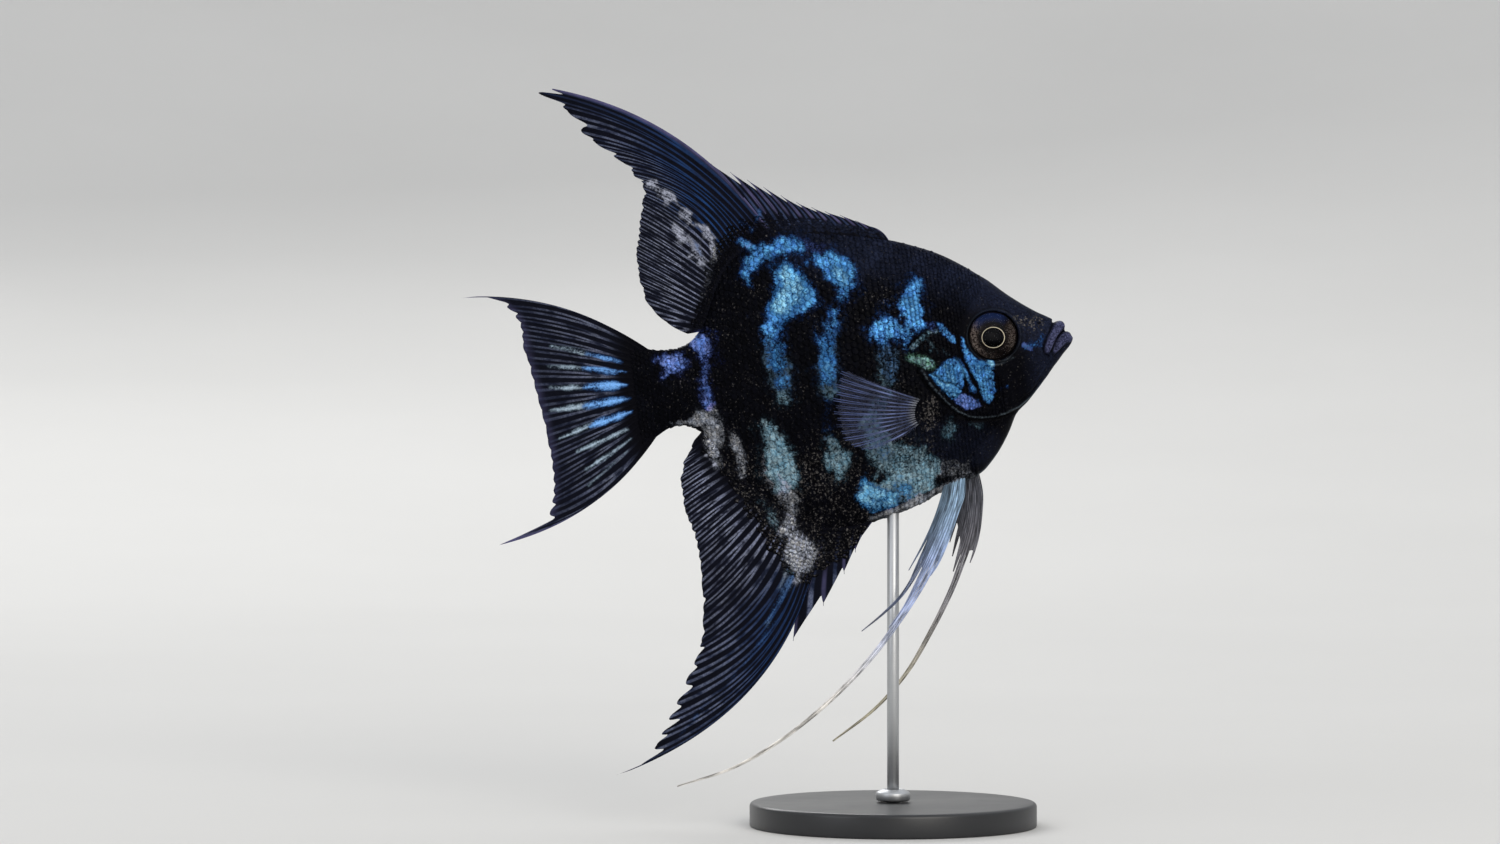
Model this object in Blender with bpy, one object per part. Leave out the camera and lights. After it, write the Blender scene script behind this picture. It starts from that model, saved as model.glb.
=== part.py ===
"""A life-size freshwater angelfish, still, swimming nose-up on a plain display stand.

The fish is drawn in its own level frame: S is the distance behind the tip of the snout, H the
height above the body's axis, which runs from the snout to the middle of the tail's root, and
Y the distance from the middle plane. The empty "fish" then pitches it and lifts it over its
stand. Driving sizes are in millimetres; MM turns them into metres.
"""
import math

import bmesh
import bpy
import numpy as np

MM = 0.001

# ---- driving dimensions, millimetres and degrees -------------------------------------------
STANDARD_LENGTH = 88.0          # snout to the root of the tail fin
NOSE_UP = 7.0                   # degrees
SNOUT_HEIGHT = 101.8            # tip of the snout above the floor
SNOUT_AHEAD = 37.6              # tip of the snout ahead of the stand's rod
JOINT_GAP = 0.3                 # between pieces that touch
BODY_STATIONS = 40
BODY_AROUND = 24

# Outline of the body, (S, H): the back, and the throat, breast, belly and anal base.
BACK = ((0.0, 0.7), (0.8, 2.2), (1.7, 3.8), (3.4, 4.3), (7.0, 6.5), (12.0, 10.4), (17.8, 15.7),
        (25.0, 20.8), (32.2, 24.1), (36.8, 25.7), (46.6, 28.2), (56.0, 29.6), (61.3, 29.2),
        (66.3, 27.5), (70.5, 24.0), (73.8, 18.1), (76.5, 12.3), (79.5, 9.1), (84.0, 8.1), (88.0, 8.4))
BELLY = ((0.0, -0.4), (0.9, -1.4), (2.5, -2.9), (6.9, -7.6), (10.9, -11.7), (13.7, -14.2),
         (15.4, -17.3), (17.5, -20.5), (20.2, -23.6), (22.8, -25.8), (26.0, -26.9), (29.3, -27.9),
         (37.8, -31.2), (46.5, -33.1), (53.2, -33.9), (59.4, -32.5), (65.2, -28.6), (70.8, -22.5),
         (75.8, -15.1), (79.5, -9.9), (82.5, -8.3), (85.0, -8.2), (88.0, -8.9))
# Line of greatest width, half the width there, and how sharp the back and belly edges are
# (1 is a round edge, 1.7 a wedge).
WIDEST = ((0, 0.2), (8, 0.0), (17, 0.5), (24, -2.0), (40, -4.0), (60, -1.5), (75, 0.0), (88, 0.0))
HALF_WIDTH = ((0, 0.9), (1.5, 1.9), (4, 2.8), (8, 4.0), (12, 5.1), (17, 6.3), (24, 7.5), (31, 8.2),
              (40, 8.1), (50, 7.3), (60, 5.9), (68, 4.6), (75, 3.5), (82, 2.6), (88, 1.7))
BACK_EDGE = ((0, 1.0), (10, 1.0), (20, 1.1), (37, 1.4), (60, 1.6), (76, 1.3), (80, 1.0), (88, 1.0))
BELLY_EDGE = ((0, 1.0), (8, 1.0), (16, 1.3), (24, 1.1), (36, 1.0), (46, 1.3), (60, 1.6), (76, 1.3),
              (80, 1.0), (88, 1.0))

# Where the body is parted, as lines in the side view, top to bottom.
GILL_EDGE = ((31.0, 40.0), (31.5, 20.0), (33.4, 8.0), (34.0, 3.0), (31.8, -2.9), (28.2, -9.2),
             (24.2, -13.2), (18.8, -14.4), (14.6, -14.0), (12.4, -14.8))
TAIL_ROOT = 79.6
FACE_EDGE = ((3.2, 12.0), (3.6, 4.4), (5.6, 1.6), (6.9, -2.4), (8.2, -5.4), (9.8, -9.2), (10.6, -14.0))
MOUTH_CLEFT = ((-3.0, 1.5), (1.9, 1.5), (3.4, 0.4), (5.6, -1.4), (9.0, -3.2))

# The bony plate of the gill cover: its front edge, its rear edge, and its thickness.
PLATE_FRONT = ((24.9, 3.4), (24.5, -0.2), (23.7, -3.6), (22.2, -7.0), (21.6, -9.8), (20.4, -11.9))
PLATE_REAR = ((32.3, 3.0), (31.6, 0.0), (30.4, -3.4), (28.6, -6.8), (26.4, -9.8), (23.0, -12.3))
PLATE_THICK = 1.0
PLATE_PROUD = 0.15

EYE_AT = (16.7, 2.5)
EYE_RADIUS = 5.2
EYE_HALF_DEPTH = 2.7
EYE_PROUD = 0.7                 # how far the cornea stands out of the head

# Fins. Each is a fan: for a number of rays, where a ray leaves the body and where it ends,
# each with its share 0 to 1 of the way from the fin's first ray to its last.
DORSAL_SPINES = 10
DORSAL_SPINE_BASE = ((0.0, 36.6, 26.1), (0.3, 44.3, 28.1), (0.6, 51.6, 29.4), (1.0, 59.5, 29.8))
DORSAL_SPINE_TIP = ((0.0, 39.1, 28.6), (0.2, 45.0, 31.2), (0.4, 50.8, 33.6), (0.65, 57.6, 37.2),
                    (0.85, 63.6, 40.9), (1.0, 68.5, 44.4))
DORSAL_RAY_BASE = ((0.0, 60.4, 29.8), (0.21, 66.3, 27.9), (0.42, 70.8, 24.3), (0.66, 74.2, 18.3),
                   (0.88, 76.9, 12.6), (1.0, 78.6, 10.4))
DORSAL_RAY_TIP = ((0.0, 102.4, 65.6), (0.03, 105.0, 64.7), (0.07, 101.6, 62.8), (0.13, 97.4, 57.0),
                  (0.2, 92.7, 51.2), (0.28, 87.6, 45.4), (0.34, 85.4, 41.8), (0.42, 86.8, 37.0),
                  (0.52, 88.3, 30.8), (0.63, 88.8, 24.8), (0.74, 88.0, 19.6), (0.85, 85.8, 14.8),
                  (0.94, 82.3, 11.7), (1.0, 79.8, 10.7))
ANAL_SPINES = 5
ANAL_SPINE_BASE = ((0.0, 47.2, -33.6), (0.5, 51.6, -34.1), (1.0, 56.4, -33.7))
ANAL_SPINE_TIP = ((0.0, 48.5, -35.1), (0.25, 50.3, -38.2), (0.5, 53.2, -42.4), (0.75, 58.3, -48.4),
                  (1.0, 64.3, -54.8))
ANAL_RAY_BASE = ((0.0, 57.3, -33.5), (0.27, 65.5, -28.9), (0.52, 71.2, -22.8), (0.8, 76.2, -15.4),
                 (1.0, 80.0, -10.1))
ANAL_RAY_TIP = ((0.0, 106.5, -78.9), (0.04, 100.0, -76.6), (0.08, 96.7, -73.5), (0.15, 93.7, -68.4),
                (0.25, 88.6, -60.5), (0.35, 84.8, -52.4), (0.45, 83.1, -45.0), (0.55, 83.6, -38.0),
                (0.66, 84.6, -31.5), (0.78, 85.2, -25.0), (0.88, 85.1, -18.6), (0.95, 84.0, -14.2),
                (1.0, 82.4, -10.6))
TAIL_BASE = ((0.0, 88.3, 8.6), (0.5, 88.5, 0.0), (1.0, 88.3, -9.0))
TAIL_TIP = ((0.0, 126.2, 24.0), (0.03, 120.0, 23.0), (0.06, 117.2, 21.6), (0.12, 115.8, 18.6),
            (0.22, 114.5, 13.8), (0.34, 113.7, 7.4), (0.47, 112.6, 0.0), (0.6, 111.9, -7.6),
            (0.72, 111.8, -14.4), (0.84, 112.5, -20.0), (0.92, 113.4, -23.4), (0.96, 117.5, -26.0),
            (1.0, 124.8, -28.2))
PECTORAL_BASE = ((0.0, 33.9, -8.3), (0.5, 34.9, -11.2), (1.0, 34.6, -14.2))
PECTORAL_TIP = ((0.0, 48.4, -0.6), (0.12, 50.6, -1.5), (0.3, 51.7, -4.8), (0.55, 52.1, -8.9),
                (0.75, 51.4, -12.6), (0.9, 50.4, -15.2), (1.0, 47.6, -15.8))
PECTORAL_FLARE = 2.6            # how far the fin's tip stands off the flank

# Pelvic fins: the blade's outline, its long filament (S, H, half-width), and its splay, for
# the right fin, which trails, and the left one, which hangs closer under the breast.
RIGHT_BLADE = ((25.9, -27.3), (26.9, -29.5), (28.4, -32.6), (30.9, -37.8), (34.0, -43.2), (35.8, -45.4),
               (37.4, -47.6), (38.7, -46.8), (41.8, -49.4), (46.4, -52.3), (51.4, -55.0), (46.6, -51.5),
               (42.2, -47.9), (39.9, -44.6), (40.9, -45.6), (39.9, -43.6), (36.6, -39.9), (33.6, -35.4),
               (31.4, -31.2), (30.2, -28.8))
RIGHT_FILAMENT = ((38.5, -47.8, 0.75), (43.3, -53.6, 0.70), (50.8, -61.3, 0.60), (60.5, -69.0, 0.52),
                  (70.8, -75.3, 0.44), (81.4, -79.8, 0.36), (93.3, -82.2, 0.28))
LEFT_BLADE = ((22.9, -26.5), (22.9, -29.5), (23.5, -34.0), (24.6, -38.6), (26.0, -42.2), (26.9, -44.0),
              (28.8, -42.8), (30.4, -41.2), (30.0, -38.6), (28.8, -35.0), (27.6, -31.0), (26.9, -27.6))
LEFT_FILAMENT = ((28.6, -43.7, 0.75), (31.2, -48.8, 0.68), (37.1, -57.9, 0.60), (43.0, -65.6, 0.50),
                 (50.3, -72.1, 0.40), (60.0, -77.9, 0.28))
PELVIC_ROOT_Y = 1.6             # from the middle plane
PELVIC_SPLAY = 5.4              # added towards the filament's middle
PELVIC_REACH = 40.0             # length over which a pelvic fin splays
FILAMENT_PARTS = 2              # lengths each filament is divided into

FIN_BASE_HALF = 0.7             # half thickness where a fin leaves the body
FIN_EDGE_HALF = 0.26            # and at its free edge

# Stand.
BASE_RADIUS = 30.0
BASE_THICK = 5.0
BASE_ROUNDING = 0.8
ROD_RADIUS = 1.25
ROD_SINK = 3.0                  # how deep the rod sits in the base, and in the belly
COLLAR_RADIUS = 3.6
COLLAR_TALL = 2.4
ROUND_SIDES = 32


# ---- small tools ---------------------------------------------------------------------------
def smooth(points, x):
    """Values at x of a smooth curve through (x, value) points: cubic pieces whose slopes are
    the mean slopes of the neighbouring chords, and level where the points turn."""
    px, py = np.array(points, float).T
    chord = np.diff(py) / np.diff(px)
    slope = np.concatenate(([chord[0]], (chord[1:] + chord[:-1]) / 2, [chord[-1]]))
    turns = chord[1:] * chord[:-1] <= 0
    slope[1:-1][turns] *= 0.25
    x = np.clip(x, px[0], px[-1])
    i = np.clip(np.searchsorted(px, x, side="right") - 1, 0, len(px) - 2)
    step = px[i + 1] - px[i]
    t = (x - px[i]) / step
    return ((2 * t**3 - 3 * t**2 + 1) * py[i] + (t**3 - 2 * t**2 + t) * step * slope[i]
            + (3 * t**2 - 2 * t**3) * py[i + 1] + (t**3 - t**2) * step * slope[i + 1])


def along(points, share):
    """(S, H, ...) at these shares of a smooth line through points, spaced by chord length."""
    rows = np.array(points, float)
    length = np.concatenate(([0.0], np.cumsum(np.linalg.norm(np.diff(rows[:, :2], axis=0), axis=1))))
    keys = length / length[-1]
    return np.stack([smooth(np.stack([keys, column], 1), share) for column in rows.T], -1)


def fan(points, share):
    """(S, H) at these shares of a line given as (share, S, H) points."""
    rows = np.array(points, float)
    return np.stack([smooth(rows[:, (0, 1)], share), smooth(rows[:, (0, 2)], share)], -1)


def half_width(s, h):
    """Half the body's width at (S, H): the greatest half-width at S, falling to nothing at the
    back and the belly as a circle does, raised to the edge's sharpness."""
    mid = smooth(WIDEST, s)
    rise = (h - mid) / (smooth(BACK, s) - mid)
    fall = (mid - h) / (mid - smooth(BELLY, s))
    part = np.where(h > mid, rise, fall)
    sharp = np.where(h > mid, smooth(BACK_EDGE, s), smooth(BELLY_EDGE, s))
    return smooth(HALF_WIDTH, s) * np.clip(1 - part**2, 0, 1) ** (sharp / 2)


def material(name, colour, roughness, metallic=0.0):
    """A plain Principled material; colour is linear red, green, blue."""
    made = bpy.data.materials.new(name)
    made.use_nodes = True
    shader = made.node_tree.nodes["Principled BSDF"]
    shader.inputs["Base Color"].default_value = (*colour, 1.0)
    shader.inputs["Roughness"].default_value = roughness
    shader.inputs["Metallic"].default_value = metallic
    made.diffuse_color = (*colour, 1.0)
    return made


def add_object(name, verts, faces, look, parent):
    """An object from (S, Y, H) points in millimetres: S runs to -X, H to +Z."""
    points = np.asarray(verts, float) * (-MM, MM, MM)
    mesh = bpy.data.meshes.new(name)
    mesh.from_pydata(points.tolist(), [], [tuple(face) for face in faces])
    piece = bmesh.new()
    piece.from_mesh(mesh)
    bmesh.ops.recalc_face_normals(piece, faces=piece.faces)
    piece.to_mesh(mesh)
    piece.free()
    made = bpy.data.objects.new(name, mesh)
    bpy.context.scene.collection.objects.link(made)
    made.parent = parent
    if look is None:
        made.display_type = "WIRE"
        made.hide_render = True
    else:
        mesh.materials.append(look)
        mesh.shade_smooth()
    return made


def boolean(target, cutter, operation):
    """A live exact Boolean on target."""
    cut = target.modifiers.new(cutter.name, "BOOLEAN")
    cut.operation = operation
    cut.solver = "EXACT"
    cut.object = cutter


def grid_faces(rows, columns):
    """Four-sided faces of a grid of points numbered row by row."""
    first = (np.arange(rows - 1)[:, None] * columns + np.arange(columns - 1)).ravel()
    return np.stack([first, first + 1, first + columns + 1, first + columns], 1)


def plate(name, s, h, y_near, y_far, look, parent):
    """A closed solid over a grid of (S, H), between its y_near and y_far faces."""
    rows, columns = s.shape
    near = np.stack([s, y_near, h], -1).reshape(-1, 3)
    far = np.stack([s, y_far, h], -1).reshape(-1, 3)
    faces = grid_faces(rows, columns)
    index = np.arange(rows * columns).reshape(rows, columns)
    rim = np.concatenate([index[0, :-1], index[:-1, -1], index[-1, :0:-1], index[:0:-1, 0]])
    ahead = np.roll(rim, -1)
    count = rows * columns
    walls = np.stack([rim, ahead, ahead + count, rim + count], 1)
    every = [*faces, *(faces[:, ::-1] + count), *walls]
    return add_object(name, np.concatenate([near, far]), every, look, parent)


def prism(name, outline, y_low, y_high, parent):
    """A cutter: an outline of (S, H) points carried from y_low to y_high."""
    s, h = np.array(outline, float).T
    low = np.stack([s, np.full_like(s, y_low), h], -1)
    high = np.stack([s, np.full_like(s, y_high), h], -1)
    count = len(s)
    ahead = np.roll(np.arange(count), -1)
    walls = [(i, j, j + count, i + count) for i, j in zip(range(count), ahead)]
    faces = [tuple(range(count)), tuple(range(2 * count - 1, count - 1, -1)), *walls]
    return add_object(name, np.concatenate([low, high]), faces, None, parent)


def shifted(line, offset):
    """A line of (S, H) points moved sideways by offset, to its left as it is walked."""
    step = np.gradient(line, axis=0)
    step /= np.linalg.norm(step, axis=1)[:, None]
    return line + offset * np.stack([-step[:, 1], step[:, 0]], -1)


# ---- flesh ---------------------------------------------------------------------------------
def body_points():
    """The whole body as rings from snout to tail root: at each station the ring's points turn
    evenly from the back round to the belly and up the other side."""
    share = np.linspace(0, 1, BODY_STATIONS)
    s = STANDARD_LENGTH * (0.45 * share + 0.55 * share**1.7)
    turn = np.linspace(0, 2 * math.pi, BODY_AROUND, endpoint=False)
    s, turn = np.meshgrid(s, turn, indexing="ij")
    mid = smooth(WIDEST, s)
    reach = np.where(np.cos(turn) > 0, smooth(BACK, s) - mid, mid - smooth(BELLY, s))
    h = mid + reach * np.cos(turn)
    y = half_width(s, h) * np.sign(np.sin(turn))
    return np.stack([s, y, h], -1)


def body_faces():
    """Quads between the rings, with the first and last ring closed flat."""
    around = np.arange(BODY_AROUND)
    ahead = np.roll(around, -1)
    ring = np.stack([around, ahead, ahead + BODY_AROUND, around + BODY_AROUND], 1)
    sides = (ring[None] + BODY_AROUND * np.arange(BODY_STATIONS - 1)[:, None, None]).reshape(-1, 4)
    last = (BODY_STATIONS - 1) * BODY_AROUND
    return [*sides, tuple(around), tuple(range(last + BODY_AROUND - 1, last - 1, -1))]


def region(name, front, rear, parent):
    """A cutter for the flesh between two lines of the side view, each drawn top to bottom."""
    outline = [*front, *rear[::-1]]
    return prism(name, outline, -20.0, 20.0, parent)


def plumb_line(s):
    """A line straight down at S, longer than the body is tall."""
    return np.array([(s, 60.0), (s, -60.0)])


def gill_plate(side, inner, outer, grow):
    """Grid of the gill cover's plate on one side, grown by grow all round, from inner to outer
    millimetres beyond the flank."""
    across = np.linspace(0, 1, 6)[:, None]
    down = np.linspace(0, 1, 10)
    front = along(PLATE_FRONT, down) - (grow, 0)
    rear = along(PLATE_REAR, down) + (grow, 0)
    front[0, 1] += grow
    rear[0, 1] += grow
    front[-1, 1] -= grow
    rear[-1, 1] -= grow
    s = front[:, 0] + (rear[:, 0] - front[:, 0]) * across
    h = front[:, 1] + (rear[:, 1] - front[:, 1]) * across
    flank = half_width(s, h)
    return s, h, side * (flank + inner), side * (flank + outer)


def eyeball(name, side, grow, look, parent):
    """A flattened ball, grown by grow; the cornea stands EYE_PROUD out of the head."""
    out = half_width(np.array(EYE_AT[0]), np.array(EYE_AT[1])) + EYE_PROUD - EYE_HALF_DEPTH
    ball = bmesh.new()
    bmesh.ops.create_uvsphere(ball, u_segments=20, v_segments=8, radius=1.0)
    ball.verts.ensure_lookup_table()
    unit = np.array([vert.co for vert in ball.verts])
    faces = [tuple(vert.index for vert in face.verts) for face in ball.faces]
    ball.free()
    disc = EYE_RADIUS + grow
    s = EYE_AT[0] + disc * unit[:, 0]
    h = EYE_AT[1] + disc * unit[:, 1]
    y = side * out + (EYE_HALF_DEPTH + grow) * unit[:, 2]
    return add_object(name, np.stack([s, y, h], -1), faces, look, parent)


def make_flesh(fish, looks):
    """The head, jaws, gill covers, eyes, trunk and tail stem, parted from one body by thin cuts."""
    shares = np.linspace(0, 1, 22)
    gill = along(GILL_EDGE, shares)
    face = along(FACE_EDGE, shares)
    cleft = along(MOUTH_CLEFT, shares)
    half_gap = JOINT_GAP / 2
    verts = body_points().reshape(-1, 3)
    faces = body_faces()

    head = add_object("head", verts, faces, looks["head"], fish)
    boolean(head, region("cut_head", shifted(face, half_gap), shifted(gill, -half_gap), fish), "INTERSECT")
    trunk = add_object("trunk", verts, faces, looks["flank"], fish)
    breast = [*shifted(gill, half_gap), (gill[-1, 0], -60.0)]
    boolean(trunk, region("cut_trunk", breast, plumb_line(TAIL_ROOT - half_gap), fish), "INTERSECT")
    stem = add_object("tail_stem", verts, faces, looks["flank"], fish)
    stem_end = plumb_line(STANDARD_LENGTH + 4.0)
    boolean(stem, region("cut_stem", plumb_line(TAIL_ROOT + half_gap), stem_end, fish), "INTERSECT")

    # The jaws are what lies ahead of the face's edge, above and below the cleft of the mouth.
    ahead = region("cut_ahead", plumb_line(-4.0), shifted(face, -half_gap), fish)
    roof = [(-4.0, 40.0), *shifted(cleft, half_gap), (12.0, 40.0)]
    floor = [(-4.0, -40.0), *shifted(cleft, -half_gap), (12.0, -40.0)]
    for name, outline in (("upper_jaw", roof), ("lower_jaw", floor)):
        jaw = add_object(name, verts, faces, looks["lips"], fish)
        boolean(jaw, ahead, "INTERSECT")
        boolean(jaw, prism("cut_" + name, outline, -20.0, 20.0, fish), "INTERSECT")

    for side, word in ((-1, "right"), (1, "left")):
        s, h, inner, outer = gill_plate(side, -PLATE_THICK, PLATE_PROUD, 0.0)
        plate("gill_cover_" + word, s, h, inner, outer, looks["gill"], fish)
        s, h, inner, outer = gill_plate(side, -PLATE_THICK - JOINT_GAP, 3.0, JOINT_GAP)
        boolean(head, plate("cut_gill_" + word, s, h, inner, outer, None, fish), "DIFFERENCE")
        eyeball("eye_" + word, side, 0.0, looks["eye"], fish)
        boolean(head, eyeball("cut_eye_" + word, side, JOINT_GAP, None, fish), "DIFFERENCE")
    return trunk


# ---- fins ----------------------------------------------------------------------------------
def fin_grid(base, tip, columns, rows, bow, notch=0.0, teeth=0):
    """(S, H) of a fan of rays: each runs from its base to its tip, bowed sideways by bow
    millimetres at its middle (first ray's, last ray's). Between teeth the free edge draws in
    by the share notch of a ray's length."""
    share = np.linspace(0, 1, columns)
    start = fan(base, share)
    end = fan(tip, share)
    run = end - start
    reach = np.linalg.norm(run, axis=1)[:, None]
    normal = np.stack([-run[:, 1], run[:, 0]], -1) / reach
    drawn_in = 1 - notch * (1 - np.mod(share * teeth, 1.0)) * (np.mod(share * teeth, 1.0) > 1e-6)
    r = np.linspace(0, 1, rows)[:, None, None] * drawn_in[:, None]
    bend = (bow[0] + (bow[1] - bow[0]) * share)[:, None]
    points = start + run * r + normal * bend * 4 * r * (1 - r)
    return points[..., 0], points[..., 1], r[..., 0]


def flat_fin(name, grid, sway, look, parent):
    """A fin in the middle plane: thickest at its base, and swayed sideways towards its tips by
    sway millimetres for each 50 mm from the body."""
    s, h, r = grid
    out = np.hypot(s - s[0], h - h[0])
    middle = sway * (out / 50.0) ** 2
    half = FIN_BASE_HALF + (FIN_EDGE_HALF - FIN_BASE_HALF) * np.clip(r, 0, 1) ** 0.6
    return plate(name, s, h, middle - half, middle + half, look, parent)


def make_median_fins(fish, look):
    """The dorsal, anal and tail fins; the first two are parted where their spines end."""
    teeth = DORSAL_SPINES - 1
    spines = fin_grid(DORSAL_SPINE_BASE, DORSAL_SPINE_TIP, 3 * teeth + 1, 4, (0.3, -0.1), 0.3, teeth)
    flat_fin("dorsal_fin_spiny", spines, 0.0, look, fish)
    rays = fin_grid(DORSAL_RAY_BASE, DORSAL_RAY_TIP, 28, 7, (6.2, 0.3))
    flat_fin("dorsal_fin_soft", rays, 1.6, look, fish)
    teeth = ANAL_SPINES - 1
    spines = fin_grid(ANAL_SPINE_BASE, ANAL_SPINE_TIP, 4 * teeth + 1, 5, (0.0, 0.5), 0.2, teeth)
    flat_fin("anal_fin_spiny", spines, 0.0, look, fish)
    rays = fin_grid(ANAL_RAY_BASE, ANAL_RAY_TIP, 28, 7, (-9.9, -0.3))
    flat_fin("anal_fin_soft", rays, -1.2, look, fish)
    rays = fin_grid(TAIL_BASE, TAIL_TIP, 27, 7, (3.7, -4.3))
    flat_fin("caudal_fin", rays, -3.0, look, fish)


def make_pectoral(name, side, fish, look):
    """A pectoral fin: a thin fan that leaves the flank behind the gill cover and stands a little
    off it towards its tip."""
    s, h, r = fin_grid(PECTORAL_BASE, PECTORAL_TIP, 13, 5, (1.6, -0.6))
    half = FIN_EDGE_HALF + 0.25 * (1 - r)
    middle = half_width(s, h) + JOINT_GAP + half + PECTORAL_FLARE * r**1.3
    plate(name, s, h, side * (middle - half), side * (middle + half), look, fish)


def splay(side, s, h, root):
    """How far from the middle plane a pelvic fin is, at (S, H), below its root."""
    down = np.clip(np.hypot(s - root[0], h - root[1]) / PELVIC_REACH, 0, 2.2)
    return side * (PELVIC_ROOT_Y + PELVIC_SPLAY * np.sin(down * 0.9) ** 1.0)


def make_pelvic(word, side, blade, filament, fish, look):
    """A pelvic fin: a blade of short rays under the breast, and its first ray drawn out into a
    long filament, divided into lengths."""
    root = blade[0]
    s, h = np.array(blade, float).T
    y = splay(side, s, h, root)
    count = len(s)
    half = 0.3
    low = np.stack([s, y - half, h], -1)
    high = np.stack([s, y + half, h], -1)
    ahead = np.roll(np.arange(count), -1)
    walls = [(i, j, j + count, i + count) for i, j in zip(range(count), ahead)]
    caps = [tuple(range(count)), tuple(range(2 * count - 1, count - 1, -1))]
    made = add_object("pelvic_fin_" + word, np.concatenate([low, high]), caps + walls, look, fish)
    mesh = bmesh.new()
    mesh.from_mesh(made.data)
    bmesh.ops.triangulate(mesh, faces=[face for face in mesh.faces if len(face.verts) > 4])
    mesh.to_mesh(made.data)
    mesh.free()

    steps = 9
    spare = 0.5 * JOINT_GAP / 50.0
    for part in range(FILAMENT_PARTS):
        start = part / FILAMENT_PARTS + (spare if part else 0)
        end = (part + 1) / FILAMENT_PARTS - (spare if part + 1 < FILAMENT_PARTS else 0)
        s, h, wide = along(filament, np.linspace(start, end, steps)).T
        run = np.gradient(np.stack([s, h], 1), axis=0)
        run /= np.linalg.norm(run, axis=1)[:, None]
        across = np.array([-1.0, 0.0, 1.0])[:, None]
        grid_s = s - run[:, 1] * wide * across
        grid_h = h + run[:, 0] * wide * across
        middle = splay(side, grid_s, grid_h, root)
        thick = np.where(across == 0, 0.36, 0.27) + 0 * grid_s
        name = "pelvic_filament_%s_%d" % (word, part + 1)
        plate(name, grid_s, grid_h, middle - thick, middle + thick, look, fish)


# ---- stand ---------------------------------------------------------------------------------
def turned(name, profile, look, parent):
    """A round solid on the Z axis from a closed profile of (radius, height) in millimetres; a
    profile that starts and ends on the axis gives a solid disc or rod."""
    radius, height = np.array(profile, float).T
    turn = np.linspace(0, 2 * math.pi, ROUND_SIDES, endpoint=False)
    on_axis = radius < 1e-6
    verts = []
    rows = []
    for r, z, axis in zip(radius, height, on_axis):
        first = len(verts)
        ring = [(0.0, 0.0, z)] if axis else [(-r * math.cos(a), r * math.sin(a), z) for a in turn]
        verts += ring
        rows.append([first] * ROUND_SIDES if axis else list(range(first, first + ROUND_SIDES)))
    pairs = list(zip(rows, rows[1:]))
    if not on_axis[0]:
        pairs.append((rows[-1], rows[0]))
    faces = []
    for lower, upper in pairs:
        for i in range(ROUND_SIDES):
            j = (i + 1) % ROUND_SIDES
            corners = (lower[i], lower[j], upper[j], upper[i])
            faces.append(tuple(dict.fromkeys(corners)))
    return add_object(name, verts, [face for face in faces if len(face) > 2], look, parent)


def make_stand(trunk, fish, look_base, look_rod):
    """A heavy round base, a steel rod that enters the belly, and a collar round its foot."""
    stand = bpy.data.objects.new("stand", None)
    bpy.context.scene.collection.objects.link(stand)
    step = BASE_ROUNDING
    hole = ROD_RADIUS + JOINT_GAP
    floor = BASE_THICK - ROD_SINK - JOINT_GAP
    base = ((0, 0), (BASE_RADIUS - step / 2, 0), (BASE_RADIUS, step / 2), (BASE_RADIUS, BASE_THICK - step),
            (BASE_RADIUS - 0.3 * step, BASE_THICK - 0.3 * step), (BASE_RADIUS - step, BASE_THICK),
            (hole, BASE_THICK), (hole, floor), (0, floor))
    turned("stand_base", base, look_base, stand)
    top = rod_top()
    turned("stand_rod", ((0, BASE_THICK - ROD_SINK), (ROD_RADIUS, BASE_THICK - ROD_SINK), (ROD_RADIUS, top),
                         (0, top)), look_rod, stand)
    low = BASE_THICK + JOINT_GAP
    high = low + COLLAR_TALL
    turned("stand_collar", ((hole, low), (COLLAR_RADIUS, low), (COLLAR_RADIUS, high - 1.0),
                            (COLLAR_RADIUS - 1.0, high), (hole, high)), look_rod, stand)
    socket = turned("cut_socket", ((0, top - 12.0), (hole, top - 12.0), (hole, top + JOINT_GAP),
                                   (0, top + JOINT_GAP)), None, stand)
    boolean(trunk, socket, "DIFFERENCE")


def rod_top():
    """Height of the rod's top: ROD_SINK above the belly, straight over the stand's middle."""
    tilt = math.radians(NOSE_UP)
    s = np.linspace(30.0, 50.0, 401)
    h = smooth(BELLY, s)
    ahead = SNOUT_AHEAD - s * math.cos(tilt) - h * math.sin(tilt)
    height = SNOUT_HEIGHT - s * math.sin(tilt) + h * math.cos(tilt)
    return float(height[np.argmin(np.abs(ahead))]) + ROD_SINK


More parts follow.
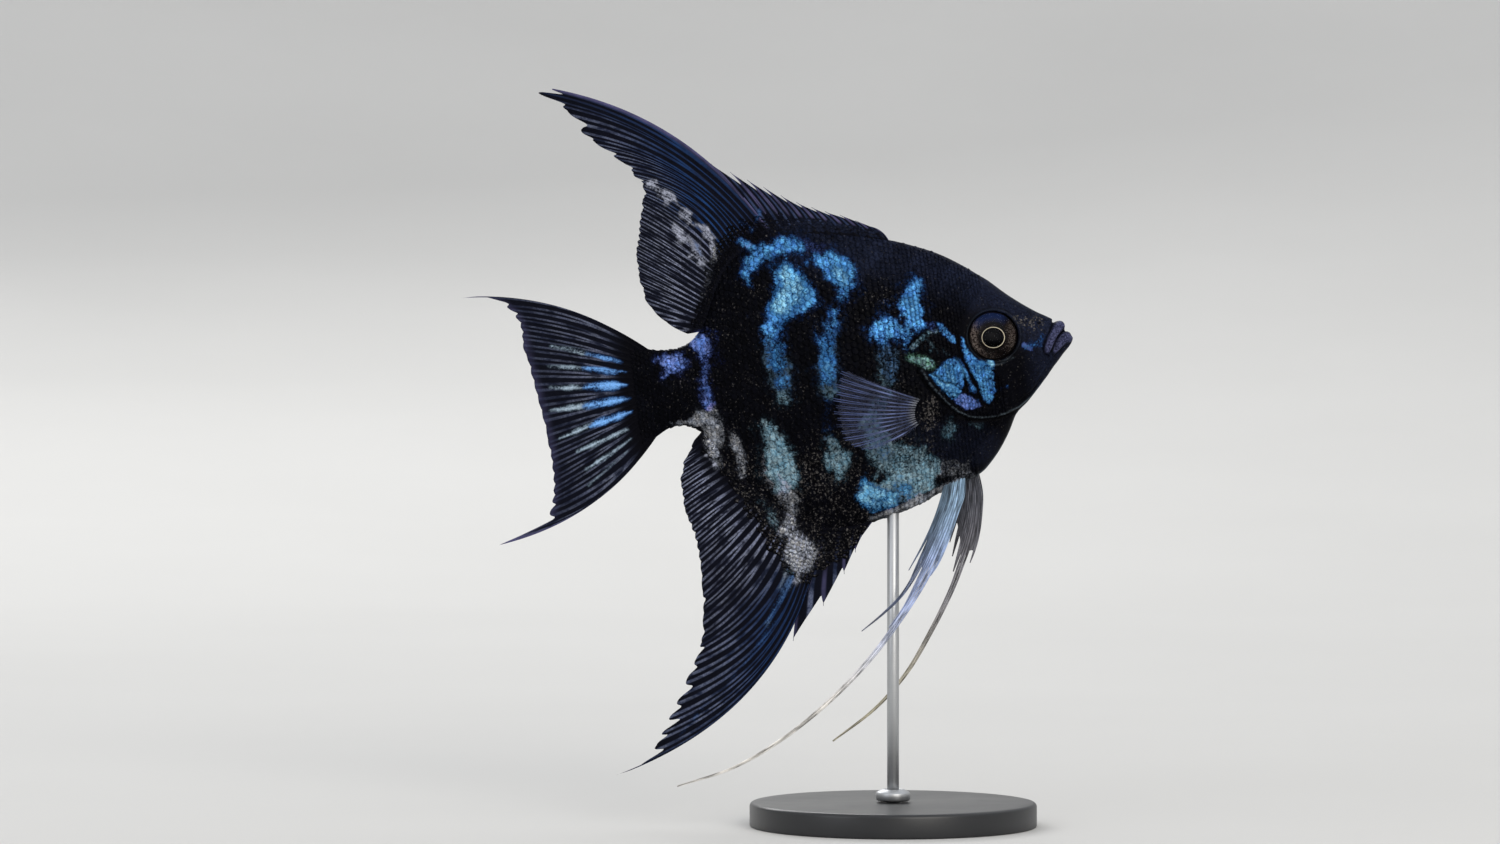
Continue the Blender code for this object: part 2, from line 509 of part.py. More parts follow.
def main():
    for old in list(bpy.data.objects):
        bpy.data.objects.remove(old)
    fish = bpy.data.objects.new("fish", None)
    bpy.context.scene.collection.objects.link(fish)
    fish.location = (SNOUT_AHEAD * MM, 0.0, SNOUT_HEIGHT * MM)
    fish.rotation_euler = (0.0, -math.radians(NOSE_UP), 0.0)
    looks = {
        "head": material("head skin", (0.012, 0.014, 0.035), 0.35),
        "flank": material("flank skin", (0.02, 0.06, 0.16), 0.35),
        "lips": material("lip skin", (0.028, 0.024, 0.07), 0.4),
        "gill": material("gill cover skin", (0.05, 0.2, 0.5), 0.3),
        "eye": material("eye", (0.02, 0.015, 0.012), 0.08),
    }
    fin_look = material("fin membrane", (0.012, 0.014, 0.04), 0.45)
    pale_look = material("pelvic fin", (0.5, 0.58, 0.75), 0.4)
    clear_look = material("pectoral fin", (0.1, 0.12, 0.2), 0.4)
    trunk = make_flesh(fish, looks)
    make_median_fins(fish, fin_look)
    for side, word in ((-1, "right"), (1, "left")):
        make_pectoral("pectoral_fin_" + word, side, fish, clear_look)
    make_pelvic("right", -1, RIGHT_BLADE, RIGHT_FILAMENT, fish, pale_look)
    make_pelvic("left", 1, LEFT_BLADE, LEFT_FILAMENT, fish, pale_look)
    base_look = material("painted base", (0.03, 0.03, 0.035), 0.4)
    rod_look = material("steel rod", (0.55, 0.56, 0.57), 0.3, 1.0)
    make_stand(trunk, fish, base_look, rod_look)


main()
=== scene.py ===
# %% [markdown]
# # A freshwater angelfish in black and blue marble
#
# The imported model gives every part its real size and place. This lesson dresses it: one skin over
# all the flesh, scales laid on it row by row, eyes under clear corneas, fins with their rays, and
# a plain turned stand. Everything is worked out in the fish's own level frame, in millimetres: S
# runs back from the tip of the snout, H up from the body's axis, Y out to the fish's left.

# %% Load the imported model
import math

import bpy
import numpy as np
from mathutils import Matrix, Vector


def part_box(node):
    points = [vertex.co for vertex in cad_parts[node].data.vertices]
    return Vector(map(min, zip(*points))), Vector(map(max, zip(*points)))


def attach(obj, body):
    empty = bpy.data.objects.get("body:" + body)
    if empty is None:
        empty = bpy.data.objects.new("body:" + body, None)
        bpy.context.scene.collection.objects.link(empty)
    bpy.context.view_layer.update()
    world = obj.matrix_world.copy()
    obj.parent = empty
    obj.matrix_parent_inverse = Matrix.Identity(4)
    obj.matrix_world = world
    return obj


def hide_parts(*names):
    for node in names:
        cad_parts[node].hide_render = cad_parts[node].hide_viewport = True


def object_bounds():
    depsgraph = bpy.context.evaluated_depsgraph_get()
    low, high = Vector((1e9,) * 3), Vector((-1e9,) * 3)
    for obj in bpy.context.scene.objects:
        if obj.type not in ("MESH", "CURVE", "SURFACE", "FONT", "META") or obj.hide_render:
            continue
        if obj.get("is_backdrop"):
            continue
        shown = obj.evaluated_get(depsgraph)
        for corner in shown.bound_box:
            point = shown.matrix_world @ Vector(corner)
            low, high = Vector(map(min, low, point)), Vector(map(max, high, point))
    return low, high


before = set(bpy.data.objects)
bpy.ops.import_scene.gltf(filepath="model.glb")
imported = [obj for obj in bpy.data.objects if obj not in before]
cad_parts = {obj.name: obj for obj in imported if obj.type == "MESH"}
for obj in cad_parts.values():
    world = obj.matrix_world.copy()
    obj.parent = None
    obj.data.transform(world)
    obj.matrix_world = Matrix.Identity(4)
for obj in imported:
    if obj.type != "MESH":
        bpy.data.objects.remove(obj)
cad_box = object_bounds()
print("nodes:", len(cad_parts), "box in metres:", [list(corner) for corner in cad_box])

# %% [markdown]
# ## From the fish's frame to the room
#
# The fish swims nose-up by seven degrees. Rather than turning finished objects, the points
# themselves are turned, so that each mesh holds its true place and patterns on Object
# coordinates never slide.

# %% The fish's frame
MM = 0.001
NOSE_UP = math.radians(7)
SNOUT_AHEAD = 37.6
SNOUT_HEIGHT = 101.8


def to_room(points):
    """Room metres of (S, Y, H) points: turned nose-up about the snout, then moved to it."""
    s, y, h = np.moveaxis(np.asarray(points, float), -1, 0)
    x = SNOUT_AHEAD - s * math.cos(NOSE_UP) - h * math.sin(NOSE_UP)
    z = SNOUT_HEIGHT - s * math.sin(NOSE_UP) + h * math.cos(NOSE_UP)
    return np.stack([x, y, z], -1) * MM


lip_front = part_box("lower_jaw")[1][0] / MM
print("snout ahead of the rod, mm:", SNOUT_AHEAD, "and the jaw's front:", round(lip_front, 2))

# %% [markdown]
# ## Smooth curves, soft steps and noise
#
# A few points describe each outline. A cubic between them gives a curve that passes through every
# point without wobbling. The soft step and the noise shape everything that has no hard edge: the
# borders of the marbling, the wear of the fins, the lie of the scales.


# %% Curve and noise tools
def smooth(points, x):
    """Values at x of a smooth curve through (x, value) points: cubic pieces whose slopes are
    the mean slopes of the neighbouring chords, and nearly level where the points turn."""
    px, py = np.array(points, float).T
    chord = np.diff(py) / np.diff(px)
    slope = np.concatenate(([chord[0]], (chord[1:] + chord[:-1]) / 2, [chord[-1]]))
    turns = chord[1:] * chord[:-1] <= 0
    slope[1:-1][turns] *= 0.25
    x = np.clip(x, px[0], px[-1])
    i = np.clip(np.searchsorted(px, x, side="right") - 1, 0, len(px) - 2)
    step = px[i + 1] - px[i]
    t = (x - px[i]) / step
    return ((2 * t**3 - 3 * t**2 + 1) * py[i] + (t**3 - 2 * t**2 + t) * step * slope[i]
            + (3 * t**2 - 2 * t**3) * py[i + 1] + (t**3 - t**2) * step * slope[i + 1])


def along(points, share):
    """Points at these shares of a smooth line through rows of numbers, spaced by chord length."""
    rows = np.array(points, float)
    length = np.concatenate(([0], np.cumsum(np.linalg.norm(np.diff(rows[:, :2], axis=0), axis=1))))
    keys = length / length[-1]
    return np.stack([smooth(np.stack([keys, column], 1), share) for column in rows.T], -1)


def fan(points, share):
    """(S, H) at these shares of a line given as (share, S, H) points."""
    rows = np.array(points, float)
    return np.stack([smooth(rows[:, (0, 1)], share), smooth(rows[:, (0, 2)], share)], -1)


def ease(x, low, high):
    """0 below low, 1 above high, and 3t^2 - 2t^3 between."""
    t = np.clip((x - low) / (high - low), 0, 1)
    return t * t * (3 - 2 * t)


def bell(x, middle, wide):
    """exp(-((x - middle) / wide)^2): 1 at the middle, fading to both sides."""
    return np.exp(-((x - middle) / wide) ** 2)


def unit(vectors):
    """The same directions, each 1 long."""
    return vectors / np.maximum(np.linalg.norm(vectors, axis=-1, keepdims=True), 1e-9)


def noise(x, y, seed):
    """Smooth noise from -1 to 1: random values at whole numbers, blended by 3t^2 - 2t^3."""
    table = np.random.default_rng(seed).uniform(-1, 1, (64, 64))
    i, j = np.floor(x).astype(int), np.floor(y).astype(int)
    u, v = ease(x - i, 0, 1), ease(y - j, 0, 1)
    i, j = i % 64, j % 64
    i1, j1 = (i + 1) % 64, (j + 1) % 64
    low = table[i, j] * (1 - u) + table[i1, j] * u
    high = table[i, j1] * (1 - u) + table[i1, j1] * u
    return low * (1 - v) + high * v


def inside(s, h, stroke):
    """How far inside a brush stroke a point is, mm: the stroke's half-width at the nearest place
    on its line of (S, H, half-width) points, less the distance to that place."""
    rows = np.array(stroke, float)
    if rows.shape[1] == 2:
        rows = np.column_stack([rows, np.zeros(len(rows))])
    best = np.full(np.shape(s), -1e9)
    for a, b in zip(rows[:-1], rows[1:]):
        run = b - a
        t = np.clip(((s - a[0]) * run[0] + (h - a[1]) * run[1]) / (run[0]**2 + run[1]**2), 0, 1)
        gap = np.hypot(s - a[0] - t * run[0], h - a[1] - t * run[1])
        best = np.maximum(best, a[2] + t * run[2] - gap)
    return best


print("curve check, mm:", round(float(smooth(((0, 0), (10, 4), (20, 0)), 10)), 2))

# %% [markdown]
# ## Putting arrays into meshes
#
# Every piece is a grid of points. Neighbouring points make four-sided faces, and a plate is two
# grids joined round their rim. The arrays go straight into the mesh, which is quick even for
# hundreds of thousands of corners.


# %% Mesh tools
def grid_faces(rows, columns, closed=False):
    """Four-sided faces of a grid of points numbered row by row; closed joins its last column to
    its first."""
    wide = columns if closed else columns - 1
    column = np.arange(wide)
    ahead = (column + 1) % columns
    first = columns * np.arange(rows - 1)[:, None]
    return np.stack([first + column, first + ahead, first + ahead + columns, first + column + columns],
                    -1).reshape(-1, 4)


def rim_of(rows, columns):
    """Numbers of a grid's outer points, once round."""
    index = np.arange(rows * columns).reshape(rows, columns)
    return np.concatenate([index[0, :-1], index[:-1, -1], index[-1, :0:-1], index[:0:-1, 0]])


def plate_faces(rows, columns):
    """Faces of a closed plate whose near grid is numbered first and its far grid after."""
    faces = grid_faces(rows, columns)
    count = rows * columns
    rim = rim_of(rows, columns)
    ahead = np.roll(rim, -1)
    walls = np.stack([rim, rim + count, ahead + count, ahead], 1)
    return np.concatenate([faces, faces[:, ::-1] + count, walls])


def outward(points, groups):
    """The same faces, pointing outwards: the volume they enclose, summed over their triangles as
    a sixth of a . (b x c), is below zero if they point inwards, and then each is turned round."""
    points = points - points.mean(0)
    volume = 0
    for group in groups:
        for k in range(1, group.shape[1] - 1):
            b, c = points[group[:, k]], points[group[:, k + 1]]
            volume += np.einsum("ij,ij->", points[group[:, 0]], np.cross(b, c)) / 6
    return groups if volume > 0 else [group[:, ::-1] for group in groups]


def make_mesh(name, points, groups, material):
    """A smooth-shaded object from room points in metres and arrays of faces, each (n, 4) or
    (n, 3), and the corners of all its faces in a row."""
    corners = np.concatenate([group.ravel() for group in groups]).astype(np.int32)
    sizes = np.concatenate([np.full(len(group), group.shape[1]) for group in groups])
    mesh = bpy.data.meshes.new(name)
    mesh.vertices.add(len(points))
    mesh.vertices.foreach_set("co", np.ascontiguousarray(points, np.float32).ravel())
    mesh.loops.add(len(corners))
    mesh.loops.foreach_set("vertex_index", corners)
    mesh.polygons.add(len(sizes))
    mesh.polygons.foreach_set("loop_start", (np.cumsum(sizes) - sizes).astype(np.int32))
    mesh.update(calc_edges=True)
    mesh.validate()
    mesh.shade_smooth()
    mesh.materials.append(material)
    made = bpy.data.objects.new(name, mesh)
    bpy.context.scene.collection.objects.link(made)
    print("%s: %d triangles" % (name, (sizes - 2).sum()))
    return made, corners


def make_piece(name, points, faces, material, nodes=(), layers=None, uv=None):
    """A finished piece. layers holds four or three numbers for each point under an attribute's
    name, and uv is one (U, V) for each point."""
    groups = outward(points, faces if isinstance(faces, (list, tuple)) else [faces])
    piece, corners = make_mesh(name, points, groups, material)
    mesh = piece.data
    for key, values in (layers or {}).items():
        four = values.shape[-1] == 4
        into = mesh.color_attributes if four else mesh.attributes
        layer = into.new(key, "FLOAT_COLOR" if four else "FLOAT_VECTOR", "POINT")
        flat = np.ascontiguousarray(values, np.float32).ravel()
        layer.data.foreach_set("color" if four else "vector", flat)
    if uv is not None:
        layer = mesh.uv_layers.new(name="OFBake")
        layer.data.foreach_set("uv", np.ascontiguousarray(uv[corners], np.float32).ravel())
    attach(piece, "root")
    if nodes:
        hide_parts(*nodes)


# %% [markdown]
# ## Colours and shader nodes
#
# Colours are written as sRGB hex, as on any colour card, and turned to linear light once. One
# small function adds any node, with its settings and what feeds it.


# %% Colour and node tools
def paint(code):
    """Linear RGBA of an sRGB hex colour: c / 12.92 up to 0.04045, else ((c + 0.055) / 1.055)^2.4."""
    parts = np.array([int(code[i:i + 2], 16) for i in (1, 3, 5)]) / 255
    linear = np.where(parts <= 0.04045, parts / 12.92, ((parts + 0.055) / 1.055) ** 2.4)
    return (*linear.tolist(), 1)


MODES = {"Math": "operation", "Mix": "blend_type", "MapRange": "interpolation_type",
         "Attribute": "attribute_name", "TexWave": "bands_direction"}
SOCKETS = {"Mix": (0, 6, 7), "Mapping": ("Vector", "Scale"), "Bump": ("Strength", "Distance", "Height"),
           "TexNoise": ("Vector", "Scale", "Detail", "Roughness"), "TexVoronoi": ("Vector", "Scale"),
           "TexWave": ("Vector", "Scale", "Distortion")}
ANSWERS = {"Mix": 2, "TexCoord": 3}         # the output most used, where it is not the first
PER_MM = (1 / MM, 1 / MM, 1 / MM)           # turns Object coordinates, in metres, to millimetres


def new_material(name):
    """The function that adds nodes to a new material: add("MULTIPLY", a, b) is a Math node set to
    multiply, add("Mix MULTIPLY", ...) a Mix node set to it. The values go to the node's sockets in
    their order, or by name from a dictionary: numbers, colours as hex, or another node's output,
    which is linked. add gives the node's output back, or the whole material once that node is
    the material's own output."""
    material = bpy.data.materials.new(name)
    material.use_nodes = True
    tree = material.node_tree
    tree.nodes.clear()

    def add(kind, *values, out=None):
        kind, _, mode = ("Math " + kind if kind.isupper() else kind).partition(" ")
        made = tree.nodes.new("ShaderNode" + kind)
        if kind == "Mix":
            made.data_type = "RGBA"
        if mode:
            setattr(made, MODES[kind], mode)
        if values and isinstance(values[0], dict):
            values = values[0].items()
        else:
            values = zip(SOCKETS.get(kind, range(len(values))), values)
        for key, value in values:
            if isinstance(value, bpy.types.NodeSocket):
                tree.links.new(value, made.inputs[key])
            else:
                made.inputs[key].default_value = paint(value) if isinstance(value, str) else value
        if kind == "OutputMaterial":
            return material
        return made.outputs[ANSWERS.get(kind, 0) if out is None else out]

    return add


print("mid blue, linear:", [round(value, 3) for value in paint("#3F86D8")])

# %% [markdown]
# ## The body's form
#
# A living angelfish is a tall, thin disc. Its form is a set of rings: at each station along S
# the ring runs from the ridge of the back round one flank to the belly's edge and up the other.
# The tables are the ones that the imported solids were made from, carried on a little over the
# root of the tail so that the flesh thins onto the fin.

# %% Outlines of the body
BACK = ((0, 0.6), (0.5, 1.25), (1, 1.7), (1.35, 2), (1.5, 2.9), (1.75, 3.6), (2.2, 3.95), (2.9, 4.05),
        (3.35, 4.05), (3.7, 4.5), (4.7, 5.2), (7, 6.6), (12, 10.4), (17.8, 15.7), (25, 20.8), (32.2, 24.1),
        (36.8, 25.7), (46.6, 28.2), (56, 29.6), (61.3, 29.2), (66.3, 27.5), (70.5, 24), (73.8, 18.1),
        (76.5, 12.3), (79.5, 9.1), (84, 8.1), (88, 8.7), (90, 9.6), (93, 11.2))
BELLY = ((0, -0.4), (0.9, -1.4), (2.5, -2.9), (6.9, -7.6), (10.9, -11.7), (13.7, -14.2), (15.4, -17.3),
        (17.5, -20.5), (20.2, -23.6), (22.8, -25.8), (26, -26.9), (29.3, -27.9), (37.8, -31.2),
        (46.5, -33.1), (53.2, -33.9), (59.4, -32.5), (65.2, -28.6), (70.8, -22.5), (75.8, -15.1),
        (79.5, -9.9), (82.5, -8.3), (85, -8.2), (88, -9.4), (90, -10.7), (93, -13.2))
WIDEST = ((0, 0.2), (8, 0), (17, 0.5), (24, -2), (40, -4), (60, -1.5), (75, 0), (93, 0))
HALF_WIDTH = ((0, 0.9), (1.5, 1.9), (4, 2.8), (8, 4), (12, 5.1), (17, 6.3), (24, 7.5), (31, 8.2), (40, 8.1),
        (50, 7.3), (60, 5.9), (68, 4.6), (75, 3.5), (82, 2.6), (87, 1.8), (90, 0.95), (93, 0.3))
BACK_EDGE = ((0, 1), (10, 1), (20, 1.1), (37, 1.4), (60, 1.6), (76, 1.3), (80, 1), (93, 1))
BELLY_EDGE = ((0, 1), (8, 1), (16, 1.3), (24, 1.1), (36, 1), (46, 1.3), (60, 1.6), (76, 1.3), (80, 1),
        (93, 1))
SKIN_END = 93
NOSE_ROUNDING = 0.7


def body_points(s, turn):
    """(S, Y, H) of the body: turn goes from 0 at the back, by the left flank, to pi at the belly
    and on by the right flank. H is the widest line plus the ring's reach times cos(turn), Y the
    half-width times sin(turn) raised to the edge's sharpness. The first rings close like a ball."""
    mid = smooth(WIDEST, s)
    up = np.cos(turn) > 0
    close = np.sqrt(1 - (1 - np.clip(s / NOSE_ROUNDING, 0, 1)) ** 2)
    reach = np.where(up, smooth(BACK, s) - mid, mid - smooth(BELLY, s))
    sharp = np.where(up, smooth(BACK_EDGE, s), smooth(BELLY_EDGE, s))
    bulge = np.sign(np.sin(turn)) * np.abs(np.sin(turn)) ** sharp
    return np.stack([s, smooth(HALF_WIDTH, s) * bulge * close, mid + reach * np.cos(turn) * close], -1)


def half_width(s, h):
    """Half the body's width at (S, H)."""
    mid = smooth(WIDEST, s)
    part = np.where(h > mid, (h - mid) / (smooth(BACK, s) - mid), (mid - h) / (mid - smooth(BELLY, s)))
    sharp = np.where(h > mid, smooth(BACK_EDGE, s), smooth(BELLY_EDGE, s))
    return smooth(HALF_WIDTH, s) * np.clip(1 - part**2, 0, 1) ** (sharp / 2)


print("greatest half-width, mm:", round(float(smooth(HALF_WIDTH, np.linspace(0, 93, 94)).max()), 2))

# %% [markdown]
# ## The marbling
#
# The black and blue pattern is pigment and mirror-like crystals in the skin. Here it is a short
# list of brush strokes, each a bent line with a half-width along it, given in the fish's frame.
# The same function colours skin, scales and fins, so a patch runs from one to the next without a
# break. Noise wanders the strokes' borders; on the left flank it also carries them a little
# further, because no fish is marked alike on both sides.

# %% Brush strokes of the marbling
BLUE = (
    (0.85, ((66.3, 22.1, 0.9), (64.2, 24.3, 1.4), (61.1, 26, 1.9), (57.1, 26.5, 2), (54.3, 25.9, 1))),
    (0.5, ((66.4, 21.6, 0.9), (65.4, 18.9, 0.7))),
    (1, ((57.4, 23, 0.9), (57.7, 20, 2.2), (57, 17, 2.9), (55.2, 15.6, 2.3), (59.9, 14.3, 2.6),
        (62, 12.1, 2.1), (62.9, 9.6, 1.7))),
    (0.6, ((63.1, 7.8, 1.8), (61.8, 5.3, 2.3), (61.8, 1.6, 2.1), (62, -2.3, 1.8))),
    (0.9, ((51.5, 23, 1.1), (49.2, 22.7, 1.8), (47.1, 20.1, 2.5), (46.1, 17.3, 2.2), (46.6, 15.2, 1.2))),
    (0.66, ((49, 11.3, 1), (49.9, 8.5, 1.9), (51.6, 5.1, 2.3), (51.8, 1.4, 2), (52.2, -2.2, 1.4))),
    (0.25, ((52.2, -2.2, 1.6), (52.7, -6.4, 1.3), (53, -10.5, 1.3), (53, -14.8, 1.4))),
    (1, ((31.4, 15.2, 0.8), (33.3, 12.6, 2.3), (32.6, 10.1, 2.3), (32, 7.9, 1.5))),
    (0.9, ((34.8, 10.9, 1.9), (33, 8.6, 1.9))),
    (0.85, ((41.6, 6.4, 1.2), (38.5, 6.6, 2.5), (36.3, 5.4, 1.8))),
    (0.4, ((39.4, 4.5, 1.4), (39.3, 0.4, 1.9), (39.8, -3.7, 1.5))),
    (0.35, ((40.8, -5.7, 1.6), (42.9, -10.2, 2.2), (43.4, -14.3, 2.8), (41.8, -19, 2.4))),
    (0.6, ((16.4, -8.4, 0.3), (15.1, -8.1, 0.4))),
    (0.5, ((76.6, 31, 0.6), (75.6, 28.8, 0.8), (75, 26.8, 0.5))),
    (0.5, ((9.8, -0.6, 0.8), (8.1, -0.4, 1), (6.9, 1, 0.6))),
    (0.8, ((25.2, -1, 0.2), (23.8, -4, 0.5), (22.6, -8, 0.6))),
    (0.75, ((66.6, 29, 0.8), (63.5, 26.8, 0.9))),
    (0.5, ((66.1, 32.8, 0.8), (63.8, 30.8, 0.7), (61.6, 34.7, 0.6))),
    (0.6, ((47.2, -25, 1.2), (45.2, -27, 2.2), (41.4, -27.8, 2))),
    (0.5, ((25.4, -10.2, 0.8), (22.4, -11, 0.8))))
TEAL = (
    (0.75, ((44.2, -12, 2.2), (42.9, -16.5, 3.2), (40.4, -20.7, 4.2), (35.5, -22.4, 3.8),
        (31.4, -23.2, 2.4))),
    (1.1, ((46, -26.6, 2.4), (41, -26.2, 3.6), (34.5, -25.4, 2.8))),
    (0.9, ((65.8, -10.2, 1.6), (64.7, -14.4, 3), (63.6, -18.2, 3.8), (62.8, -22.5, 2.6))),
    (0.8, ((52.9, -15.6, 1.2), (52, -19, 2.8), (51.7, -22, 1.6))),
    (0.7, ((63.1, 7.8, 1.5), (61.8, 2.6, 2.8), (62.2, -4.5, 2))),
    (0.65, ((50, 8.5, 1.8), (51.8, 2, 2.5), (52.3, -4.2, 1.5))),
    (0.55, ((39.3, 1, 2.2), (40.6, -5.7, 2), (43, -11, 2.6))),
    (0.6, ((27, -12.3, 1.1), (27.8, -15.2, 1.9), (29, -17.6, 1.2))),
    (0.5, ((23.5, -15, 1), (22, -15.7, 0.7))),
    (0.45, ((63.6, -40.6, 1.2), (65.6, -43.6, 1.2), (68.4, -47.8, 0.9), (71, -51.3, 0.6))),
    (0.5, ((69.5, -25, 0.9), (67.6, -27.6, 1), (66.4, -31, 1.3), (65, -34, 1.2))),
    (0.7, ((33.8, 2.4, 0.3), (32.2, 3.6, 0.4), (30.2, 4.6, 0.5), (28.6, 5, 0.4))),
    (0.7, ((30.6, 3.4, 0.2), (29.6, 2, 0.4), (30.2, 0.8, 0.3))),
    (0.6, ((27.6, 1.2, 0.3), (27.2, 0, 0.3), (26.4, -0.4, 0.3))))
VIOLET = (
    (0.45, ((58.5, 27.2, 1.8), (53.7, 26.4, 1.6), (50.2, 24.4, 1.8))),
    (1, ((85.6, 5.6, 1.9), (82.9, 5.4, 2.2), (86, 3.6, 1))),
    (1, ((78.8, 8.9, 0.8), (76.9, 8, 1.9), (76.2, 6, 1.3))),
    (0.75, ((76.5, 5.3, 1.2), (77.2, 1.6, 1), (77.7, -1.9, 1), (77.8, -5.4, 1.1))),
    (0.8, ((10.4, -0.1, 0.4), (9.3, -1, 0.6))),
    (0.5, ((30.2, 6.8, 0.6), (29, 5.5, 0.6))))
CYAN = (
    (0.9, ((47.6, -27.6, 1.4), (45.4, -29.4, 1.4), (41.5, -29.2, 1.2))),
    (0.9, ((46.9, -24.8, 1), (45.2, -27.4, 1.9), (41.9, -27.8, 2), (39, -27.4, 1.2))),
    (0.9, ((57.6, 20.8, 1), (57, 17, 2), (60, 14, 1.6))),
    (0.7, ((47, 19.2, 1.2), (46.2, 16.8, 1.2))),
    (0.6, ((33.2, 12.2, 1.3), (32.4, 9.4, 1.3))),
    (0.45, ((62, 6, 1.4), (61.8, 1.8, 1.4))),
    (0.4, ((51.2, 6, 1.2), (51.9, 1, 1.2))),
    (0.9, ((19.6, -2.6, 0.4), (17.9, -3.2, 0.6))),
    (0.8, ((30.8, -3.9, 0.3), (29.4, -5.3, 0.6), (28, -7.6, 0.5))),
    (0.6, ((27.4, -2.6, 0.7), (26.4, -5.2, 1))))
PALE = (
    (0.6, ((37, -24.4, 1.6), (33, -23.6, 2.8), (29.5, -23.6, 3), (26.5, -24.6, 1.8))),
    (1, ((46.4, -32, 0.5), (41.9, -31.3, 0.8), (37, -29.9, 0.8), (32, -28, 0.8), (26.5, -26.2, 0.5))),
    (0.75, ((64.2, -21.5, 1.6), (62.6, -25, 2), (62.9, -28, 2.1), (63.8, -31, 2), (63.6, -33.5, 1.8))),
    (0.95, ((64.6, -32.3, 1.6), (62.6, -35, 2.6), (61.4, -37.8, 2.9), (61.6, -39.8, 2), (63.2, -42, 0.7))),
    (0.5, ((66.8, -13, 1), (67.4, -18, 1), (66, -22.5, 1.2))),
    (0.7, ((73.2, -10.8, 0.7), (72.3, -13.6, 1.4), (71.8, -17.4, 1.3), (72.3, -20, 0.7))),
    (0.8, ((78.2, -6, 1.5), (77, -9, 1.9), (77.4, -12.6, 1.6), (77.2, -16, 1))),
    (0.85, ((85.3, -7.4, 0.4), (82.1, -7.4, 0.7), (79.5, -8, 0.7))),
    (1, ((83.4, 42.9, 0.8), (81.1, 40.7, 1.4), (79, 37.9, 1.5), (77.1, 35.2, 1.3), (75.9, 32.6, 1.2))),
    (0.8, ((79.2, 33.4, 1.2), (77.6, 30.8, 1.9), (76, 28, 1.8), (75.2, 25.4, 1))),
    (0.9, ((75.6, 34, 0.8), (73.4, 31.6, 1), (72.5, 29.2, 0.9), (72.6, 26.4, 0.6))),
    (0.35, ((73.3, 30.2, 0.4), (72, 27, 0.7), (73, 24, 0.8), (74.4, 21.6, 0.7), (75.6, 18.4, 0.5))))
# Black spots that break the pale patches.
SPOTS = (((79.5, 37.6, 0.9), (78.6, 37.2, 0.9)), ((76.3, 32.4, 0.9), (75.2, 31.8, 0.7)), ((77.9, 28.3, 0.6),
        (77.4, 29.6, 0.4)), ((74, 28.9, 0.6), (73.9, 27.6, 0.5)), ((44.2, -24.6, 0.4), (42.9, -23.8, 0.5)))
# Plates of the cheek and gill cover: mask, strength and outline. Cracks part them.
PLATES = (
    (0, 1, ((31, -3.8), (29.4, -2.8), (27.7, -1.5), (26.5, -0.8), (25.1, -1.1), (24.5, -3), (24, -4.9),
        (23.9, -6.4), (24.6, -8), (25.8, -9.3), (27.1, -9.6), (28, -8.3), (29.6, -6.4))),
    (4, 0.7, ((31, -3.9), (29.6, -3.4), (28.2, -4.9), (26.8, -6.2), (25.4, -7.6), (25.4, -9), (27.1, -9.6),
        (28, -8.3), (29.6, -6.4))),
    (4, 0.6, ((21.8, -1.6), (20.1, -2.3), (18.2, -2.9), (18.6, -4.6), (20.6, -5.2), (21.8, -4.4))),
    (2, 1, ((27, -9), (24.9, -8.5), (23.2, -8.9), (21.7, -10.6), (20.6, -11.5), (22.7, -12.2), (24.4, -12),
        (26.2, -10.8))),
    (0, 1, ((23.6, 3.5), (22.9, 2.6), (22.5, 1), (21.2, -1), (20.1, -2.1), (17.6, -2.7), (17.4, -4.4),
        (17.7, -6.7), (17.4, -8.6), (18.3, -10.5), (19.6, -11.7), (20.6, -10.3), (21.1, -7.6), (22.1, -5.4),
        (22.9, -2.9), (23.5, -1), (23.9, 1.4))),
    (0, 0.85, ((28.6, 7.1), (27.2, 6.7), (25.8, 4.9), (24.7, 3.7), (24.7, 1.4), (26.1, 2.4), (27.9, 4.7))),
    (1, 1, ((35.2, -0.1), (34.2, 0.8), (33, 0.2), (31.7, 0), (29.7, -0.8), (29.6, -2.1), (31, -3),
        (32, -2.6), (33.2, -1.6))),
    (1, 0.6, ((31.6, 2.4), (30.9, 2.5), (31.2, 0.9), (31.7, 0.9))),
    (1, 0.6, ((29.5, 1.7), (28.8, 1.6), (28.3, -0.6), (29.2, -0.5))),
    (0, 0.8, ((35.7, 4.9), (35.9, 2.2), (34.9, 1.6), (34.2, 3.4), (32.6, 4.7), (33.6, 5.6))))
print("brush strokes:", sum(len(kind) for kind in (BLUE, TEAL, VIOLET, PALE, CYAN)))

# %% Marbling masks
# Noise that wanders a border: its cells per mm, and how far it moves the border, mm.
WANDER = ((0.2, 0.8), (0.5, 0.8), (1.2, 0.7))
BORDER = 1.5                                # half the width of a soft border, mm
HALO = 3.4                                  # how far single flecks stray from a patch, mm
HALO_STRENGTH = 0.34
LEFT_DRIFT = 2.6                            # how far noise carries the left flank's strokes, mm
SPREAD = 0.15                               # how far a stroke's colour reaches past its line's width, mm


